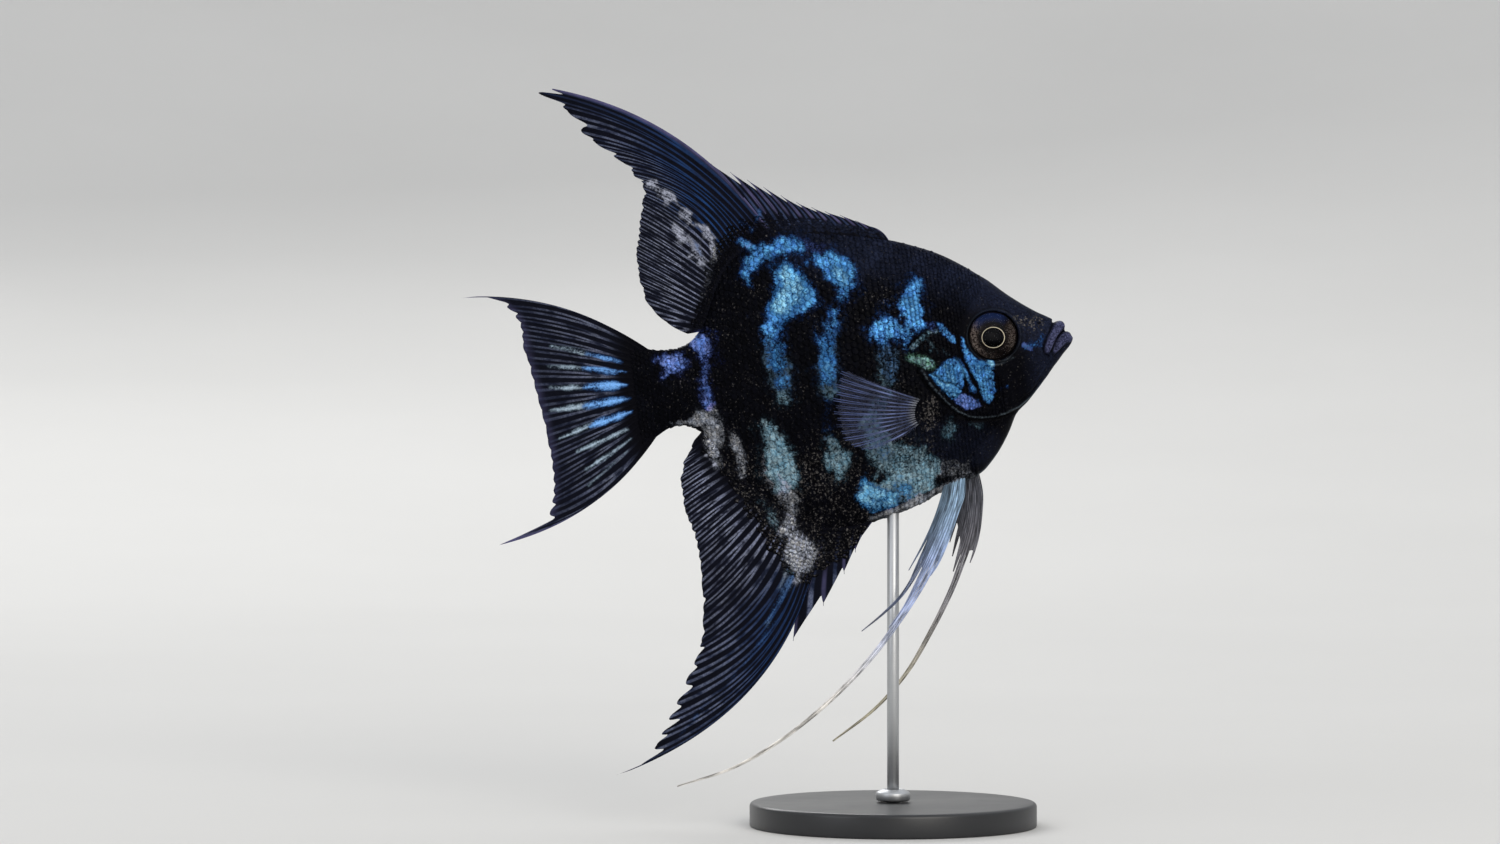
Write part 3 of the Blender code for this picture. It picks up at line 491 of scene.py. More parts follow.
def within(s, h, outline):
    """Distance (mm) to a closed outline, above 0 inside: to its nearest edge, inside being where
    a line drawn forward from the point crosses an odd number of edges."""
    near = np.full(np.shape(s), 99)
    odd = np.zeros(np.shape(s), bool)
    for (s0, h0), (s1, h1) in zip(outline, outline[1:] + outline[:1]):
        run_s, run_h = s1 - s0, h1 - h0
        t = np.clip(((s - s0) * run_s + (h - h0) * run_h) / (run_s**2 + run_h**2), 0, 1)
        near = np.minimum(near, np.hypot(s - s0 - t * run_s, h - h0 - t * run_h))
        level = (h0 > h) != (h1 > h)
        odd ^= level & (s < s0 + (h - h0) * run_s / (run_h if abs(run_h) > 1e-6 else 1e-6))
    return np.where(odd, near, -near)


def strokes_at(s, h, side, strokes, wild=1):
    """How strongly any of these strokes colours a point, 0 to 1. wild is how far noise may move
    their borders."""
    shift = LEFT_DRIFT if side > 0 else 0
    s2 = s + shift * noise(s * 0.05, h * 0.05, 31)
    h2 = h + shift * noise(s * 0.05, h * 0.05, 32)
    seed = 40 if side > 0 else 33
    stray = sum(far * noise(s * fine, h * fine, seed + n) for n, (fine, far) in enumerate(WANDER))
    uneven = noise(s * 0.3, h * 0.3, seed + 4)
    strength = np.zeros(np.shape(s))
    for amount, stroke in strokes:
        calm = min(1, 0.25 + 0.38 * max(row[2] for row in stroke))
        depth = inside(s2, h2, stroke) + (stray * wild + SPREAD) * calm
        core = ease(depth, -BORDER * calm, BORDER * calm) * (1 + 0.22 * wild * uneven)
        halo = HALO_STRENGTH * wild * calm * ease(depth + 1.6 * uneven, -HALO * calm, 0)
        strength = np.maximum(strength, amount * np.maximum(core, halo))
    return np.clip(strength, 0, 1)


def marbling(s, h, side):
    """Five masks for each point: blue, teal, violet, pale, and the cyan heart of the blue. Black
    spots take them away."""
    black = 1 - strokes_at(s, h, side, [(1, spot) for spot in SPOTS])
    masks = [strokes_at(s, h, side, kind) * black for kind in (BLUE, TEAL, VIOLET, PALE, CYAN)]
    ragged = 0.22 * noise(s * 2.3, h * 2.3, 39)
    cracks = 1 - 0.55 * bell(noise(s * 0.7 + 0.4 * ragged, h * 0.7, 45), 0, 0.07)
    for kind, amount, outline in PLATES:
        plate = 0.88 * amount * cracks * ease(within(s, h, outline) + ragged, -0.3, 0.45)
        masks[kind] = np.maximum(masks[kind], plate)
    return np.stack(masks, -1)


sample_s, sample_h = np.meshgrid(np.linspace(12, 85, 147), np.linspace(-30, 28, 117))
marked = marbling(sample_s, sample_h, -1).max(-1) > 0.5
print("share of the flank that is marked:", round(float(marked.mean()), 2))

# %% [markdown]
# ## Folds, plates and pits of the head
#
# The head is skin stretched over thin plates of bone, and its lines are what makes it a face:
# the edge of the gill cover, the groove before it, cracks between plates, the fold behind the
# lips, the nostril, the rim of the eye socket. Each is a line in the side view with a depth and
# a width. Their sum moves the skin in or out; the deep ones also get painted shade, and raised
# edges a painted highlight.

# %% Creases of the head
EYE_AT = (16.7, 2.6)
EYE_REACH = (5.3, 5.15)                     # half-axes of the eye's rim along S and H, mm
GILL_EDGE = ((33.4, 9), (34.6, 5), (34.2, 1), (32.6, -2.6), (30.9, -6.1), (29.4, -8.2), (28, -10),
        (26.1, -12), (23.8, -13.4), (21.3, -14), (18.2, -14.1), (16, -13.6), (13.1, -12.5), (10.4, -10.7),
        (8, -8.3), (6.1, -6.8))
# Each crease: depth (negative is a ridge), half-width, painted shade (negative is a painted highlight),
# line. Millimetres.
CREASES = (
    (0.42, 0.26, 1, ((24.4, 4), (24.3, 1.5), (23.9, -1.1), (23.1, -2.9), (22.3, -4.8), (21.3, -7.5),
        (21, -9.6), (20.3, -11), (19.2, -11.9))),
    (0.25, 0.16, 0.9, ((30.6, -3.8), (29.2, -4.6), (27.7, -6.1), (26.8, -6), (25.5, -7), (24.4, -8))),
    (0.22, 0.3, 0.8, ((24.9, -1), (24, -3.2), (23.6, -5.3), (23.6, -7), (24.4, -8))),
    (0.18, 0.14, 0.8, ((28.2, -7.4), (26.7, -9.2), (25.6, -8.6), (24.4, -8.4), (22.8, -9.2))),
    (0.22, 0.18, 0.9, ((30, -1.2), (29, -1.1), (27.7, -1.1), (26.9, -0.8))),
    (0.35, 0.22, 0.9, ((35.4, 1.8), (34.1, 3.1), (31.6, 4.9), (29.9, 5.8))),
    (0.22, 0.15, 0.8, ((32.1, 0.6), (32, -0.9), (32.3, -2.6))),
    (0.22, 0.15, 0.8, ((29, 2.1), (29, 0.2), (28.1, -1))),
    (0.22, 0.15, 0.8, ((33.4, 0.9), (33.5, -1.6))),
    (0.22, 0.15, 0.8, ((34.1, 3.1), (33.5, 1.4), (32.1, 0.8), (30, 0.5))),
    (0.14, 0.12, 0.6, ((23.4, -8.7), (22.5, -9.7), (23.5, -11))),
    (0.1, 0.12, 0.5, ((18.8, -5.5), (19.3, -8.4))),
    (-0.12, 0.22, -0.5, ((17.6, -3.5), (15.6, -3.2), (13.3, -2.3))),
    (-0.13, 0.1, -0.8, GILL_EDGE[3:15]),
    (0.4, 0.3, 1, ((33.3, -2.9), (31.6, -6.4), (30, -8.6), (28.5, -10.5), (26.5, -12.6), (24, -14),
        (21.3, -14.7), (18.2, -14.8), (16.2, -14.4), (13.4, -13.3))),
    (0.14, 0.2, 0.5, ((15.4, -12.2), (12.7, -11.4), (10, -9.6), (7.6, -7.2))),
    (0.5, 0.26, 0.65, ((3.5, 4.4), (4.1, 3.2), (5, 1.6), (6, 0), (6.6, -1.4), (6.4, -2.4), (5.6, -3))),
    (0.22, 0.18, 0.5, ((1.7, 0.9), (2.6, 0.5), (3.4, -0.5), (4.2, -1.7))),
    (0.26, 0.22, 0.5, ((0.9, -1), (2, -1.3), (3.2, -2.2), (4.4, -3.1))),
    (0.3, 0.28, 0.9, ((6.95, 4.15), (6.75, 4.05))),
    (0.12, 0.16, 0.5, ((33.1, -4.1), (32.2, -5.6), (30.8, -8))),
    (0.12, 0.16, 0.5, ((33.9, -4.6), (33, -6.6), (31.8, -8.6))),
    (0.1, 0.18, 0.5, ((28.3, 9.5), (26.3, 9.1))))
print("creases of the head:", len(CREASES))

# %% Relief of the head
MOUTH_CLEFT = ((1, 2.15), (1.6, 2.1), (2.2, 1.75), (3, 0.95), (3.8, 0), (4.5, -1.1), (5, -2.1))
UPPER_LIP = ((2.3, 3.1, 0.85), (3.3, 1.9, 0.95), (4.4, 0.5, 0.95), (5.4, -1, 0.7), (5.9, -1.9, 0.35))
LOWER_LIP = ((0.8, 0.5, 0.9), (1.9, 0.4, 0.85), (3, -0.7, 0.65), (4.1, -2, 0.4))
CLEFT_DEPTH, UPPER_SWELL, LOWER_SWELL = 0.75, 0.42, 0.36     # of the mouth and its lips, mm
COVER_LIFT = 0.3                            # how far the gill cover's edge stands off, mm
NOSTRIL, NOSTRIL_RIM = (6.85, 4.1), 0.62
PECTORAL_PAD, PAD_SWELL = (33.4, -11.2), 0.55


def eye_reach(s, h):
    """Distance from the eye's centre as a share of its rim's reach."""
    return np.hypot((s - EYE_AT[0]) / EYE_REACH[0], (h - EYE_AT[1]) / EYE_REACH[1])


def relief(s, h):
    """How far the skin stands out (mm), and how much painted shade its fold gets (0 to 1; below 0 a
    painted highlight where a raised edge catches the light)."""
    out = np.zeros(s.shape)
    dark = np.zeros(s.shape)
    # Each crease moves the skin and paints shade into its fold; a negative darkening is a painted highlight
    # along a ridge.
    for depth, wide, shade, line in CREASES:
        near = bell(inside(s, h, line), 0, wide)
        out -= depth * near
        dark += shade * near
    behind = inside(s, h, GILL_EDGE)
    ahead_of_edge = s < smooth([(b, a) for a, b in GILL_EDGE[8::-1]], np.clip(h, -13.3, 9))
    cover = ahead_of_edge & (h > -14)
    out += np.where(cover, COVER_LIFT * np.exp(behind / 2.5) * ease(9 - h, 0, 3), 0)
    cleft = bell(inside(s, h, MOUTH_CLEFT), 0, 0.26)
    out -= CLEFT_DEPTH * cleft * ease(5.2 - s, 0, 2)
    # Painted shade in the mouth's cleft.
    dark += cleft
    out += (UPPER_SWELL * ease(inside(s, h, UPPER_LIP), -0.35, 0.7)
            + LOWER_SWELL * ease(inside(s, h, LOWER_LIP), -0.35, 0.7))
    to_nostril = np.hypot(s - NOSTRIL[0], h - NOSTRIL[1])
    out += 0.14 * bell(to_nostril, NOSTRIL_RIM, 0.22)
    rim = eye_reach(s, h)
    out += 0.12 * bell(rim, 1.06, 0.03) - 0.08 * bell(rim, 1.12, 0.03)
    # Painted shade in the groove round the eye's rim, less a faint painted highlight on the rim itself.
    dark += 0.5 * bell(rim, 1.13, 0.03) - 0.12 * bell(rim, 1.07, 0.02)
    to_pad = np.hypot((s - PECTORAL_PAD[0]) / 2, (h - PECTORAL_PAD[1]) / 3.6)
    out += PAD_SWELL * np.exp(-to_pad**2)
    return out, dark


raised_rim, _ = relief(np.array(NOSTRIL[0]), np.array(NOSTRIL[1] + NOSTRIL_RIM))
print("relief at the nostril's rim, mm:", round(float(raised_rim), 2))


# %% [markdown]
# ## The skin
#
# One closed surface carries all the flesh, so no seam shows between head, jaws, gill covers,
# trunk and tail. It lies a little inside the solids where scales will cover it. Its rings stand
# close together on the head, where the folds are fine, and far apart on the flank, and round
# each ring the points crowd to the middle of the flank.

# %% Build the skin
SCALE_DEPTH = 0.16                          # how far the skin lies under the scales' backs, mm
RINGS_LIPS, RINGS_HEAD, RINGS_TRUNK = 60, 140, 66
LIPS_END, HEAD_END = 7, 35                  # S where closely set rings give way to wider ones, mm
AROUND = 360
CROWDING = 0.2                              # how far points crowd to the middle of the flank
SOCKET_DEPTH = 2


def scaled(s, h):
    """1 where the skin bears scales, 0 on the snout, lips, throat and round the eye."""
    face_line = smooth(((-20, 22), (-13, 14.5), (-6, 15.5), (-2, 18), (1, 23.2), (5, 23), (9, 20.5),
                        (14, 16.5), (20, 20)), h)
    return ease(s - face_line, -0.6, 1.2) * ease(eye_reach(s, h), 1.16, 1.3)


def skin_normals(points):
    """Unit normals of a closed grid: the cross product of its two directions, pointing out."""
    run_s = np.gradient(points, axis=0)
    run_turn = (np.roll(points, -1, axis=1) - np.roll(points, 1, axis=1)) / 2
    normal = np.cross(run_s, run_turn)
    for _ in range(5):
        normal = (np.roll(normal, 1, axis=1) + 2 * normal + np.roll(normal, -1, axis=1)) / 4
        normal[1:-1] = (normal[:-2] + 2 * normal[1:-1] + normal[2:]) / 4
    return unit(normal)


def eye_plane(s, h):
    """Y of the flat plane that fits the head round the eye."""
    return smooth(HALF_WIDTH, EYE_AT[0]) + 0.21 * (s - EYE_AT[0]) - 0.06 * (h - EYE_AT[1])


stations = np.concatenate([
    NOSE_ROUNDING * np.linspace(0, 1, 10)[:-1] ** 1.6, np.linspace(NOSE_ROUNDING, LIPS_END, RINGS_LIPS)[:-1],
    np.linspace(LIPS_END, HEAD_END, RINGS_HEAD)[:-1], np.linspace(HEAD_END, SKIN_END, RINGS_TRUNK)])
even = np.linspace(0, 2 * math.pi, AROUND, endpoint=False)
turns = even + CROWDING * np.sin(2 * even)
ring_s, ring_turn = np.meshgrid(stations, turns, indexing="ij")
bare = body_points(ring_s, ring_turn)
out_of_skin = skin_normals(bare)
out_of_skin[0] = (-1, 0, 0)
raised, painted_fold_shade = relief(bare[..., 0], bare[..., 2])
flat_on = np.clip(np.abs(out_of_skin[..., 1]) * 2, 0, 1)
on_face = np.maximum(flat_on, ease(5 - bare[..., 0], 0, 1.5))
raised *= on_face * ease(bare[..., 0], 0.1, 1)
covered = scaled(bare[..., 0], bare[..., 2])
skin = bare + out_of_skin * (raised - SCALE_DEPTH * covered)[..., None]
socket = 1 - ease(eye_reach(bare[..., 0], bare[..., 2]), 0.94, 1.01)
floor_y = eye_plane(bare[..., 0], bare[..., 2]) - SOCKET_DEPTH
skin[..., 1] += socket * np.sign(bare[..., 1]) * np.minimum(floor_y - np.abs(skin[..., 1]), 0)
print("skin grid:", skin.shape[:2], "deepest fold, mm:", round(float(raised.min()), 2))


# %% [markdown]
# ### What colours the skin at each point
#
# Beside the marbling masks each point carries a few more: the grey grain over nape and back
# with a painted sheen along the top, the painted shade of the fold it lies in, a painted
# highlight on raised rims and the belly's edge, the violet of the lips, the brown of the snout
# and the green-gold of the plates behind the gill.

# %% Tone masks
def tones(s, h, dark, seed):
    """Masks: grey grain with painted sheen, painted fold shade, painted rim highlight and chance in
    one set; lips, brown, gold and cyan in another.
    """
    below_back = smooth(BACK, s) - h
    cloudy = 0.75 + 0.25 * noise(s * 0.3, h * 0.3, 41)
    # Painted sheen along the top of the back over the skin's own grey grain; fainter on the snout and
    # throat.
    sheen_and_grey_grain = ease(13 - below_back, 0, 9) * ease(64 - s, 0, 14) * cloudy
    sheen_and_grey_grain = np.maximum(sheen_and_grey_grain, 0.55 * ease(12 - s, 0, 5))
    throat = ease(inside(s, h, ((22, -20, 4), (29, -19.5, 4.5), (34, -16, 3))), -2, 2)
    sheen_and_grey_grain = np.maximum(sheen_and_grey_grain, 0.3 * throat)
    # Painted highlight along the belly's edge under throat and breast, and on raised rims where the fold
    # shade is below 0.
    edge = ease(h - smooth(BELLY, s), 0.6, 0.1) * ease(46 - s, 0, 2) * ease(s, 5, 7)
    rim = np.clip(np.maximum(-dark, 0.45 * edge), 0, 1)
    chance = np.random.default_rng(seed).uniform(0, 1, np.shape(s))
    lips = np.maximum(ease(inside(s, h, UPPER_LIP), -0.35, 0.2), ease(inside(s, h, LOWER_LIP), -0.35, 0.2))
    brown = 0.8 * ease(inside(s, h, ((12, 5, 1.2), (7, 4.2, 1.4))), -1, 1)
    behind_gill = inside(s, h, ((32.5, -14, 1.8), (31.8, -11, 1.8), (30.8, -9, 0.8)))
    brown = np.maximum(brown, 0.95 * ease(behind_gill, -1.2, 1.2))
    dust = np.clip(0.08 + 0.42 * ease(-8 - h, 0, 16) + 0.25 * noise(s * 0.22, h * 0.22, 43), 0, 1)
    brown = np.maximum(brown, dust * ease(s, 27, 34) * ease(88 - s, 0, 6) * (1 - sheen_and_grey_grain))
    gold = 0.8 * ease(inside(s, h, ((34.5, 0.2, 0.7), (32, -0.9, 1), (30.6, -1.9, 0.9))), -0.6, 0.6)
    return (np.stack([sheen_and_grey_grain, np.clip(dark, 0, 1), rim, chance], -1),
            np.stack([lips, brown, gold, np.zeros(np.shape(s))], -1))


def colour_layers(s, h, side, dark, seed):
    """The three colour attributes that the skin's material reads, for points at (S, H)."""
    masks = marbling(s, h, side)
    first, second = tones(s, h, dark, seed)
    second[..., 3] = masks[..., 4]
    return {"marks": masks[..., :4], "tone": first, "hue": second}


left = bare[..., 1] >= 0
layers_right = colour_layers(bare[..., 0], bare[..., 2], -1, painted_fold_shade, 51)
layers_left = colour_layers(bare[..., 0], bare[..., 2], 1, painted_fold_shade, 51)
skin_layers = {key: np.where(left[..., None], layers_left[key], layers_right[key]) for key in layers_left}
# Painted shade inside the eye's socket.
skin_layers["tone"][..., 1] = np.maximum(skin_layers["tone"][..., 1], socket)
print("skin layers:", sorted(skin_layers))

# %% [markdown]
# ### The skin's finish
#
# Fish skin is a clear, wet layer over black pigment cells and stacks of guanine crystals, which
# mirror blue. The crystals sit in clusters about half a millimetre across, so a patch is a
# crowd of flecks that thins out at its border, and the black ground holds stray grey flecks. The
# masks say where each colour may lie; cells of a Voronoi pattern decide fleck by fleck.

# %% Skin material
FLECKS_PER_MM = 3
GRAIN_PER_MM = 3


def layered_colour(add, place):
    """Base colour, share of mirror-like crystal and height of the grain for skin and scales."""
    marks, tone, hue = add("Attribute marks"), add("Attribute tone"), add("Attribute hue")
    mark, grey, tint, chance = (add("SeparateColor", source).node.outputs for source in
                                (marks, tone, hue, add("TexVoronoi", place, FLECKS_PER_MM, out=1)))
    grain = add("TexNoise", place, GRAIN_PER_MM, 3)
    cloud = add("TexNoise", place, 0.55, 2)
    grain_step = add("MapRange SMOOTHSTEP", grain, 0.38, 0.62)
    blot = add("TexNoise", place, 0.95, 3, 0.6)
    colour = add("Mix", cloud, "#020204", "#07080F")
    # Grey grain over nape and back, with a painted sheen along the top of the fish.
    grain_of_sheen = add("MapRange", chance[2], 0, 1, 0.3, 1)
    sheen_and_grey_grain = add("MULTIPLY", grey[0], grain_of_sheen)
    colour = add("Mix", sheen_and_grey_grain, colour, "#20263A")
    # Stray grey-brown flecks on the black: the share of lit cells follows the mask.
    dust = add("MULTIPLY_ADD", grain, 1.6, -0.8)
    dust = add("ADD", dust, chance[1])
    dust = add("MULTIPLY_ADD", tint[1], 0.62, dust)
    dust = add("MapRange SMOOTHSTEP", dust, 0.98, 1.42)
    dust_colour = add("Mix", chance[2], "#1B1A1B", "#5A5755")
    colour = add("Mix", dust, colour, dust_colour)

    # Each mask is multiplied by the flecks' own strength, so that a patch is broken inside and
    # thins out into single flecks at its border; strong flecks are pale, weak ones deep.
    fleck = add("MULTIPLY_ADD", chance[0], 0.65, -1.7)
    fleck = add("MULTIPLY_ADD", grain, 1.8, fleck)
    fleck = add("MULTIPLY_ADD", blot, 1.9, fleck)
    shine = None
    tinge = add("MULTIPLY_ADD", cloud, 2.2, -0.95)
    tinge = add("MULTIPLY_ADD", chance[1], 0.7, tinge)
    for mask, low, high, other, blend in (
            (mark[1], "#132029", "#6F9CB4", "#97B0BA", "MIX"),
            (mark[2], "#182148", "#5E86D8", "#8096DE", "MIX"),
            (mark[0], "#0E2650", "#4A8ADC", "#66B4EA", "MIX"),
            (hue.node.outputs[3], "#1C5286", "#6CB8EA", "#9CD6EE", "MIX"),
            (marks.node.outputs[3], "#1A1D24", "#9CA4B4", "#B6B6B8", "LIGHTEN")):
        heart = add("MULTIPLY_ADD", mask, 0.75, fleck)
        level = add("MULTIPLY", mask, heart)
        lit = add("MapRange SMOOTHSTEP", level, 0.08, 0.6)
        bright = add("MapRange SMOOTHSTEP", level, 0.18, 1.65)
        top = add("Mix", tinge, high, other)
        pick = add("Mix", bright, low, top)
        colour = add("Mix " + blend, lit, colour, pick)
        shine = lit if shine is None else add("MAXIMUM", shine, lit)
    gold = add("MULTIPLY", tint[2], grain_step)
    colour = add("Mix", gold, colour, "#5F8C78")
    lip = add("Mix", grain_step, "#25273C", "#4D5070")
    colour = add("Mix", tint[0], colour, lip)
    # Painted highlight on raised rims and along the belly's edge.
    rim = add("MULTIPLY", grey[2], 0.75)
    colour = add("Mix", rim, colour, "#5F6B74")
    # Painted shade in creases, the mouth's cleft, the eye's socket and groove, and along the scales' hind
    # edges.
    colour = add("Mix", grey[1], colour, "#040406")
    lift = add("MapRange", tone.node.outputs[3], 0, 1, 0.72, 1.22)
    colour = add("Mix MULTIPLY", 1, colour, lift)
    height = add("MULTIPLY_ADD", chance[0], 0.3, grain)
    return colour, shine, height


def skin_material(name, bump_mm, gloss):
    """Wet fish skin: dark, glossy, flecked with crystal."""
    add = new_material(name)
    place = add("Mapping", add("TexCoord"), PER_MM)
    colour, shine, height = layered_colour(add, place)
    metal = add("MULTIPLY", shine, 0.25)
    rough = add("MapRange", shine, 0, 1, gloss, gloss - 0.06)
    bump = add("Bump", 1, bump_mm * MM, height)
    return add("OutputMaterial", add("BsdfPrincipled", {
        "Base Color": colour, "Metallic": metal, "Roughness": rough, "Specular IOR Level": 0.03,
        "IOR": 1.4, "Normal": bump}))


SKIN_LOOK = skin_material("wet_fish_skin", 0.05, 0.42)
print("skin finish:", SKIN_LOOK.name)

# %% [markdown]
# ### Closing the skin
#
# The first ring shrinks to a point at the lower lip. The last is a thin slit round the root of
# the tail fin, closed by faces from each left point to its twin on the right.

# %% Skin piece
rings, across = skin.shape[:2]
first_ring = np.arange(across)
tip = np.full(across, (rings - 1) * across)
nose_faces = np.stack([first_ring, np.roll(first_ring, -1), tip], 1)
body_faces = grid_faces(rings - 1, across, closed=True)[:, ::-1]
last_ring = (rings - 2) * across + first_ring
half = across // 2
near_side = last_ring[:half]
twin = np.roll(last_ring[::-1], 1)[:half]
slit = np.stack([twin[1:-1], twin[2:], near_side[2:], near_side[1:-1]], 1)
slit_ends = np.array([(twin[1], near_side[1], near_side[0]), (twin[-1], last_ring[half], near_side[-1])])
lip_point = skin[0].mean(0)
points = np.concatenate([skin[1:].reshape(-1, 3), lip_point[None]])
layers = {key: np.concatenate([values[1:].reshape(-1, 4), values[0, :1]])
          for key, values in skin_layers.items()}
FLESH = ("head", "upper_jaw", "lower_jaw", "gill_cover_left", "gill_cover_right", "trunk", "tail_stem")
make_piece("skin", to_room(points), [body_faces, slit, nose_faces, slit_ends], SKIN_LOOK,
           FLESH, layers)

# %% [markdown]
# ## Places on the flank
#
# Scales are laid by two measures: S, and Q, the way up or down the flank from its widest line,
# walked along the skin. A table of each ring's girth turns S and Q into a place on the body, so
# that rows of scales stay evenly spaced where the flank curves away to the back and the belly.

# %% Girth tables
GIRTH_STEP = 0.5
GIRTH_SHARES = 61


def girth_tables():
    """For each station: the walk from the widest line up to the back and down to the belly, mm,
    and the ring's turn at even shares of each walk."""
    stations = np.arange(0, SKIN_END + 0.01, GIRTH_STEP)
    reach, turn = np.zeros((2, len(stations))), np.zeros((2, len(stations), GIRTH_SHARES))
    for way, end in enumerate((0, math.pi)):
        turns = math.pi / 2 + (end - math.pi / 2) * np.linspace(0, 1, 160)
        s, t = np.meshgrid(stations, turns, indexing="ij")
        steps = np.linalg.norm(np.diff(body_points(s, t)[..., 1:], axis=1), axis=-1)
        walk = np.concatenate([np.zeros((len(stations), 1)), np.cumsum(steps, 1)], 1)
        reach[way] = walk[:, -1]
        shares = np.linspace(0, 1, GIRTH_SHARES)
        turn[way] = np.stack([np.interp(shares * row[-1], row, turns) for row in walk])
    return stations, reach, turn


GIRTH_S, GIRTH_REACH, GIRTH_TURN = girth_tables()


def flank_turn(s, q):
    """The ring's turn at a walk of q mm up (or, below 0, down) from the widest line."""
    way = (q < 0).astype(int)
    place = np.clip(s / GIRTH_STEP, 0, len(GIRTH_S) - 1.001)
    i = place.astype(int)
    u = place - i
    whole = GIRTH_REACH[way, i] * (1 - u) + GIRTH_REACH[way, i + 1] * u
    share = np.clip(np.abs(q) / whole, 0, 0.9999) * (GIRTH_SHARES - 1)
    j = share.astype(int)
    v = share - j
    low = GIRTH_TURN[way, i, j] * (1 - v) + GIRTH_TURN[way, i, j + 1] * v
    high = GIRTH_TURN[way, i + 1, j] * (1 - v) + GIRTH_TURN[way, i + 1, j + 1] * v
    return low * (1 - u) + high * u


def flank(s, q, side):
    """(S, Y, H) on the flank, and the unit normal there: the cross product of short steps along
    S and Q, turned outwards."""
    step = 0.25
    here = body_points(s, flank_turn(s, q))
    back = body_points(s + step, flank_turn(s + step, q)) - body_points(s - step, flank_turn(s - step, q))
    up = body_points(s, flank_turn(s, q + step)) - body_points(s, flank_turn(s, q - step))
    normal = unit(np.cross(up, back))
    facing = np.array([1, side, 1])
    return here * facing, normal * facing


print("greatest walk from widest line to back, mm:", round(float(GIRTH_REACH[0].max()), 1))

# %% [markdown]
# ## One scale, many times
#
# A scale is a thin rounded plate rooted in a pocket of the skin, its hind edge lifted over the
# next one. Twenty points make its back and twenty its underside. All scales of a patch are worked
# out at once: each point of each scale is a short walk from the scale's own place, so that the
# plates bend with the body. Every scale is turned and lifted a little differently.

# %% A coat of scales
ALONG, ACROSS = 4, 5
SCALE_THICK = 0.05                          # mm
ROOT_SUNK = -0.17                           # height of a scale's root and hind edge over the skin, mm
HIND_LIFT = 0.075
DOME = 0.06                                 # how far a scale's sides lie below its middle, mm
UNWRAP_LONG, UNWRAP_TALL = 130, 110         # millimetres that fill the square of the OFBake map
PATCH = 0.003


def scale_template():
    """Along and across shares of a scale's points: rows from root to hind edge, which is an arc."""
    walk = np.linspace(0, 1, ALONG)[:, None]
    cross = np.sin(np.linspace(-1, 1, ACROSS) * math.pi / 2)[None]
    hind = 0.5 + 0.5 * np.sqrt(1 - 0.96 * cross**2)
    return walk * hind, cross * (0.8 + 0.2 * walk), walk + 0 * cross


def coat(name, surface, side, s, q, length, wide, seed, extra=None):
    """Scales rooted at (s, q) mm on a surface, length long and wide across, all but straight
    back. extra gives what the skin's relief adds: height and the painted shade of its folds."""
    rng = np.random.default_rng(seed)
    count = len(s)
    a, b, walk = scale_template()
    tilt = rng.normal(0, 0.05, count)[:, None, None]
    size = (1 + rng.normal(0, 0.05, count))[:, None, None]
    da = a * length[:, None, None] * size
    db = b * wide[:, None, None] * 0.5 * size
    s2 = s[:, None, None] + da * np.cos(tilt) - db * np.sin(tilt)
    q2 = q[:, None, None] + da * np.sin(tilt) + db * np.cos(tilt)
    place, normal = surface(s2, q2)
    hind = (HIND_LIFT + rng.uniform(-0.03, 0.03, count))[:, None, None]
    lift = ROOT_SUNK + (hind - ROOT_SUNK) * walk - DOME * b**2
    raised_here, folds = extra(place[..., 0], place[..., 2]) if extra else np.zeros((2, *s2.shape))
    lift = (lift + raised_here)[..., None]
    points = np.stack([place + normal * lift, place + normal * (lift - SCALE_THICK)], 1).reshape(-1, 3)
    starts = 2 * ALONG * ACROSS * np.arange(count)[:, None, None]
    faces = (plate_faces(ALONG, ACROSS) + starts).reshape(-1, 4)
    # Fold shade from the skin's relief, plus painted shade along each scale's hind edge.
    layers = colour_layers(place[..., 0], place[..., 2], side, folds + 0.3 * walk**6, seed)
    layers["tone"][..., 3] = rng.uniform(0, 1, count)[:, None, None]
    doubled = {key: np.repeat(values[:, None], 2, axis=1).reshape(-1, 4) for key, values in layers.items()}
    patch = np.stack([a - 0.5, b * 0.5], -1) * PATCH
    root = np.stack([s / UNWRAP_LONG, 0.5 + q / UNWRAP_TALL], -1)
    uv = (root[:, None, None, None] + patch[None, None]).repeat(2, axis=1).reshape(-1, 2)
    make_piece(name, to_room(points), faces, SCALE_LOOK, (), doubled, uv)
    return count


print("points of one scale:", 2 * ALONG * ACROSS)

# %% [markdown]
# ### The coat of the flanks
#
# Columns of scales stand one pitch apart, each shifted half a row from the last, as roof tiles
# are. On the cheek and the gill cover they are small and close, on the flank large, and on the
# tail small again. None grow on the snout, the lips, the throat's edge or round the eye, nor in
# the open folds of the head, and the root of the breast fin stays bare.

# %% Lay the flanks' scales
PITCH = ((0, 0.62), (17, 0.66), (24, 0.74), (33, 0.9), (40, 1.15), (62, 1.18), (76, 1), (93, 0.85))
ROW = ((0, 0.4), (17, 0.42), (24, 0.46), (33, 0.56), (40, 0.7), (62, 0.72), (76, 0.6), (93, 0.52))
COAT_START, COAT_END = 14, 91.5
RIDGE_MARGIN = 0.35
SCALE_LONG, SCALE_WIDE = 1.45, 2.2          # a scale's length in pitches and width in rows


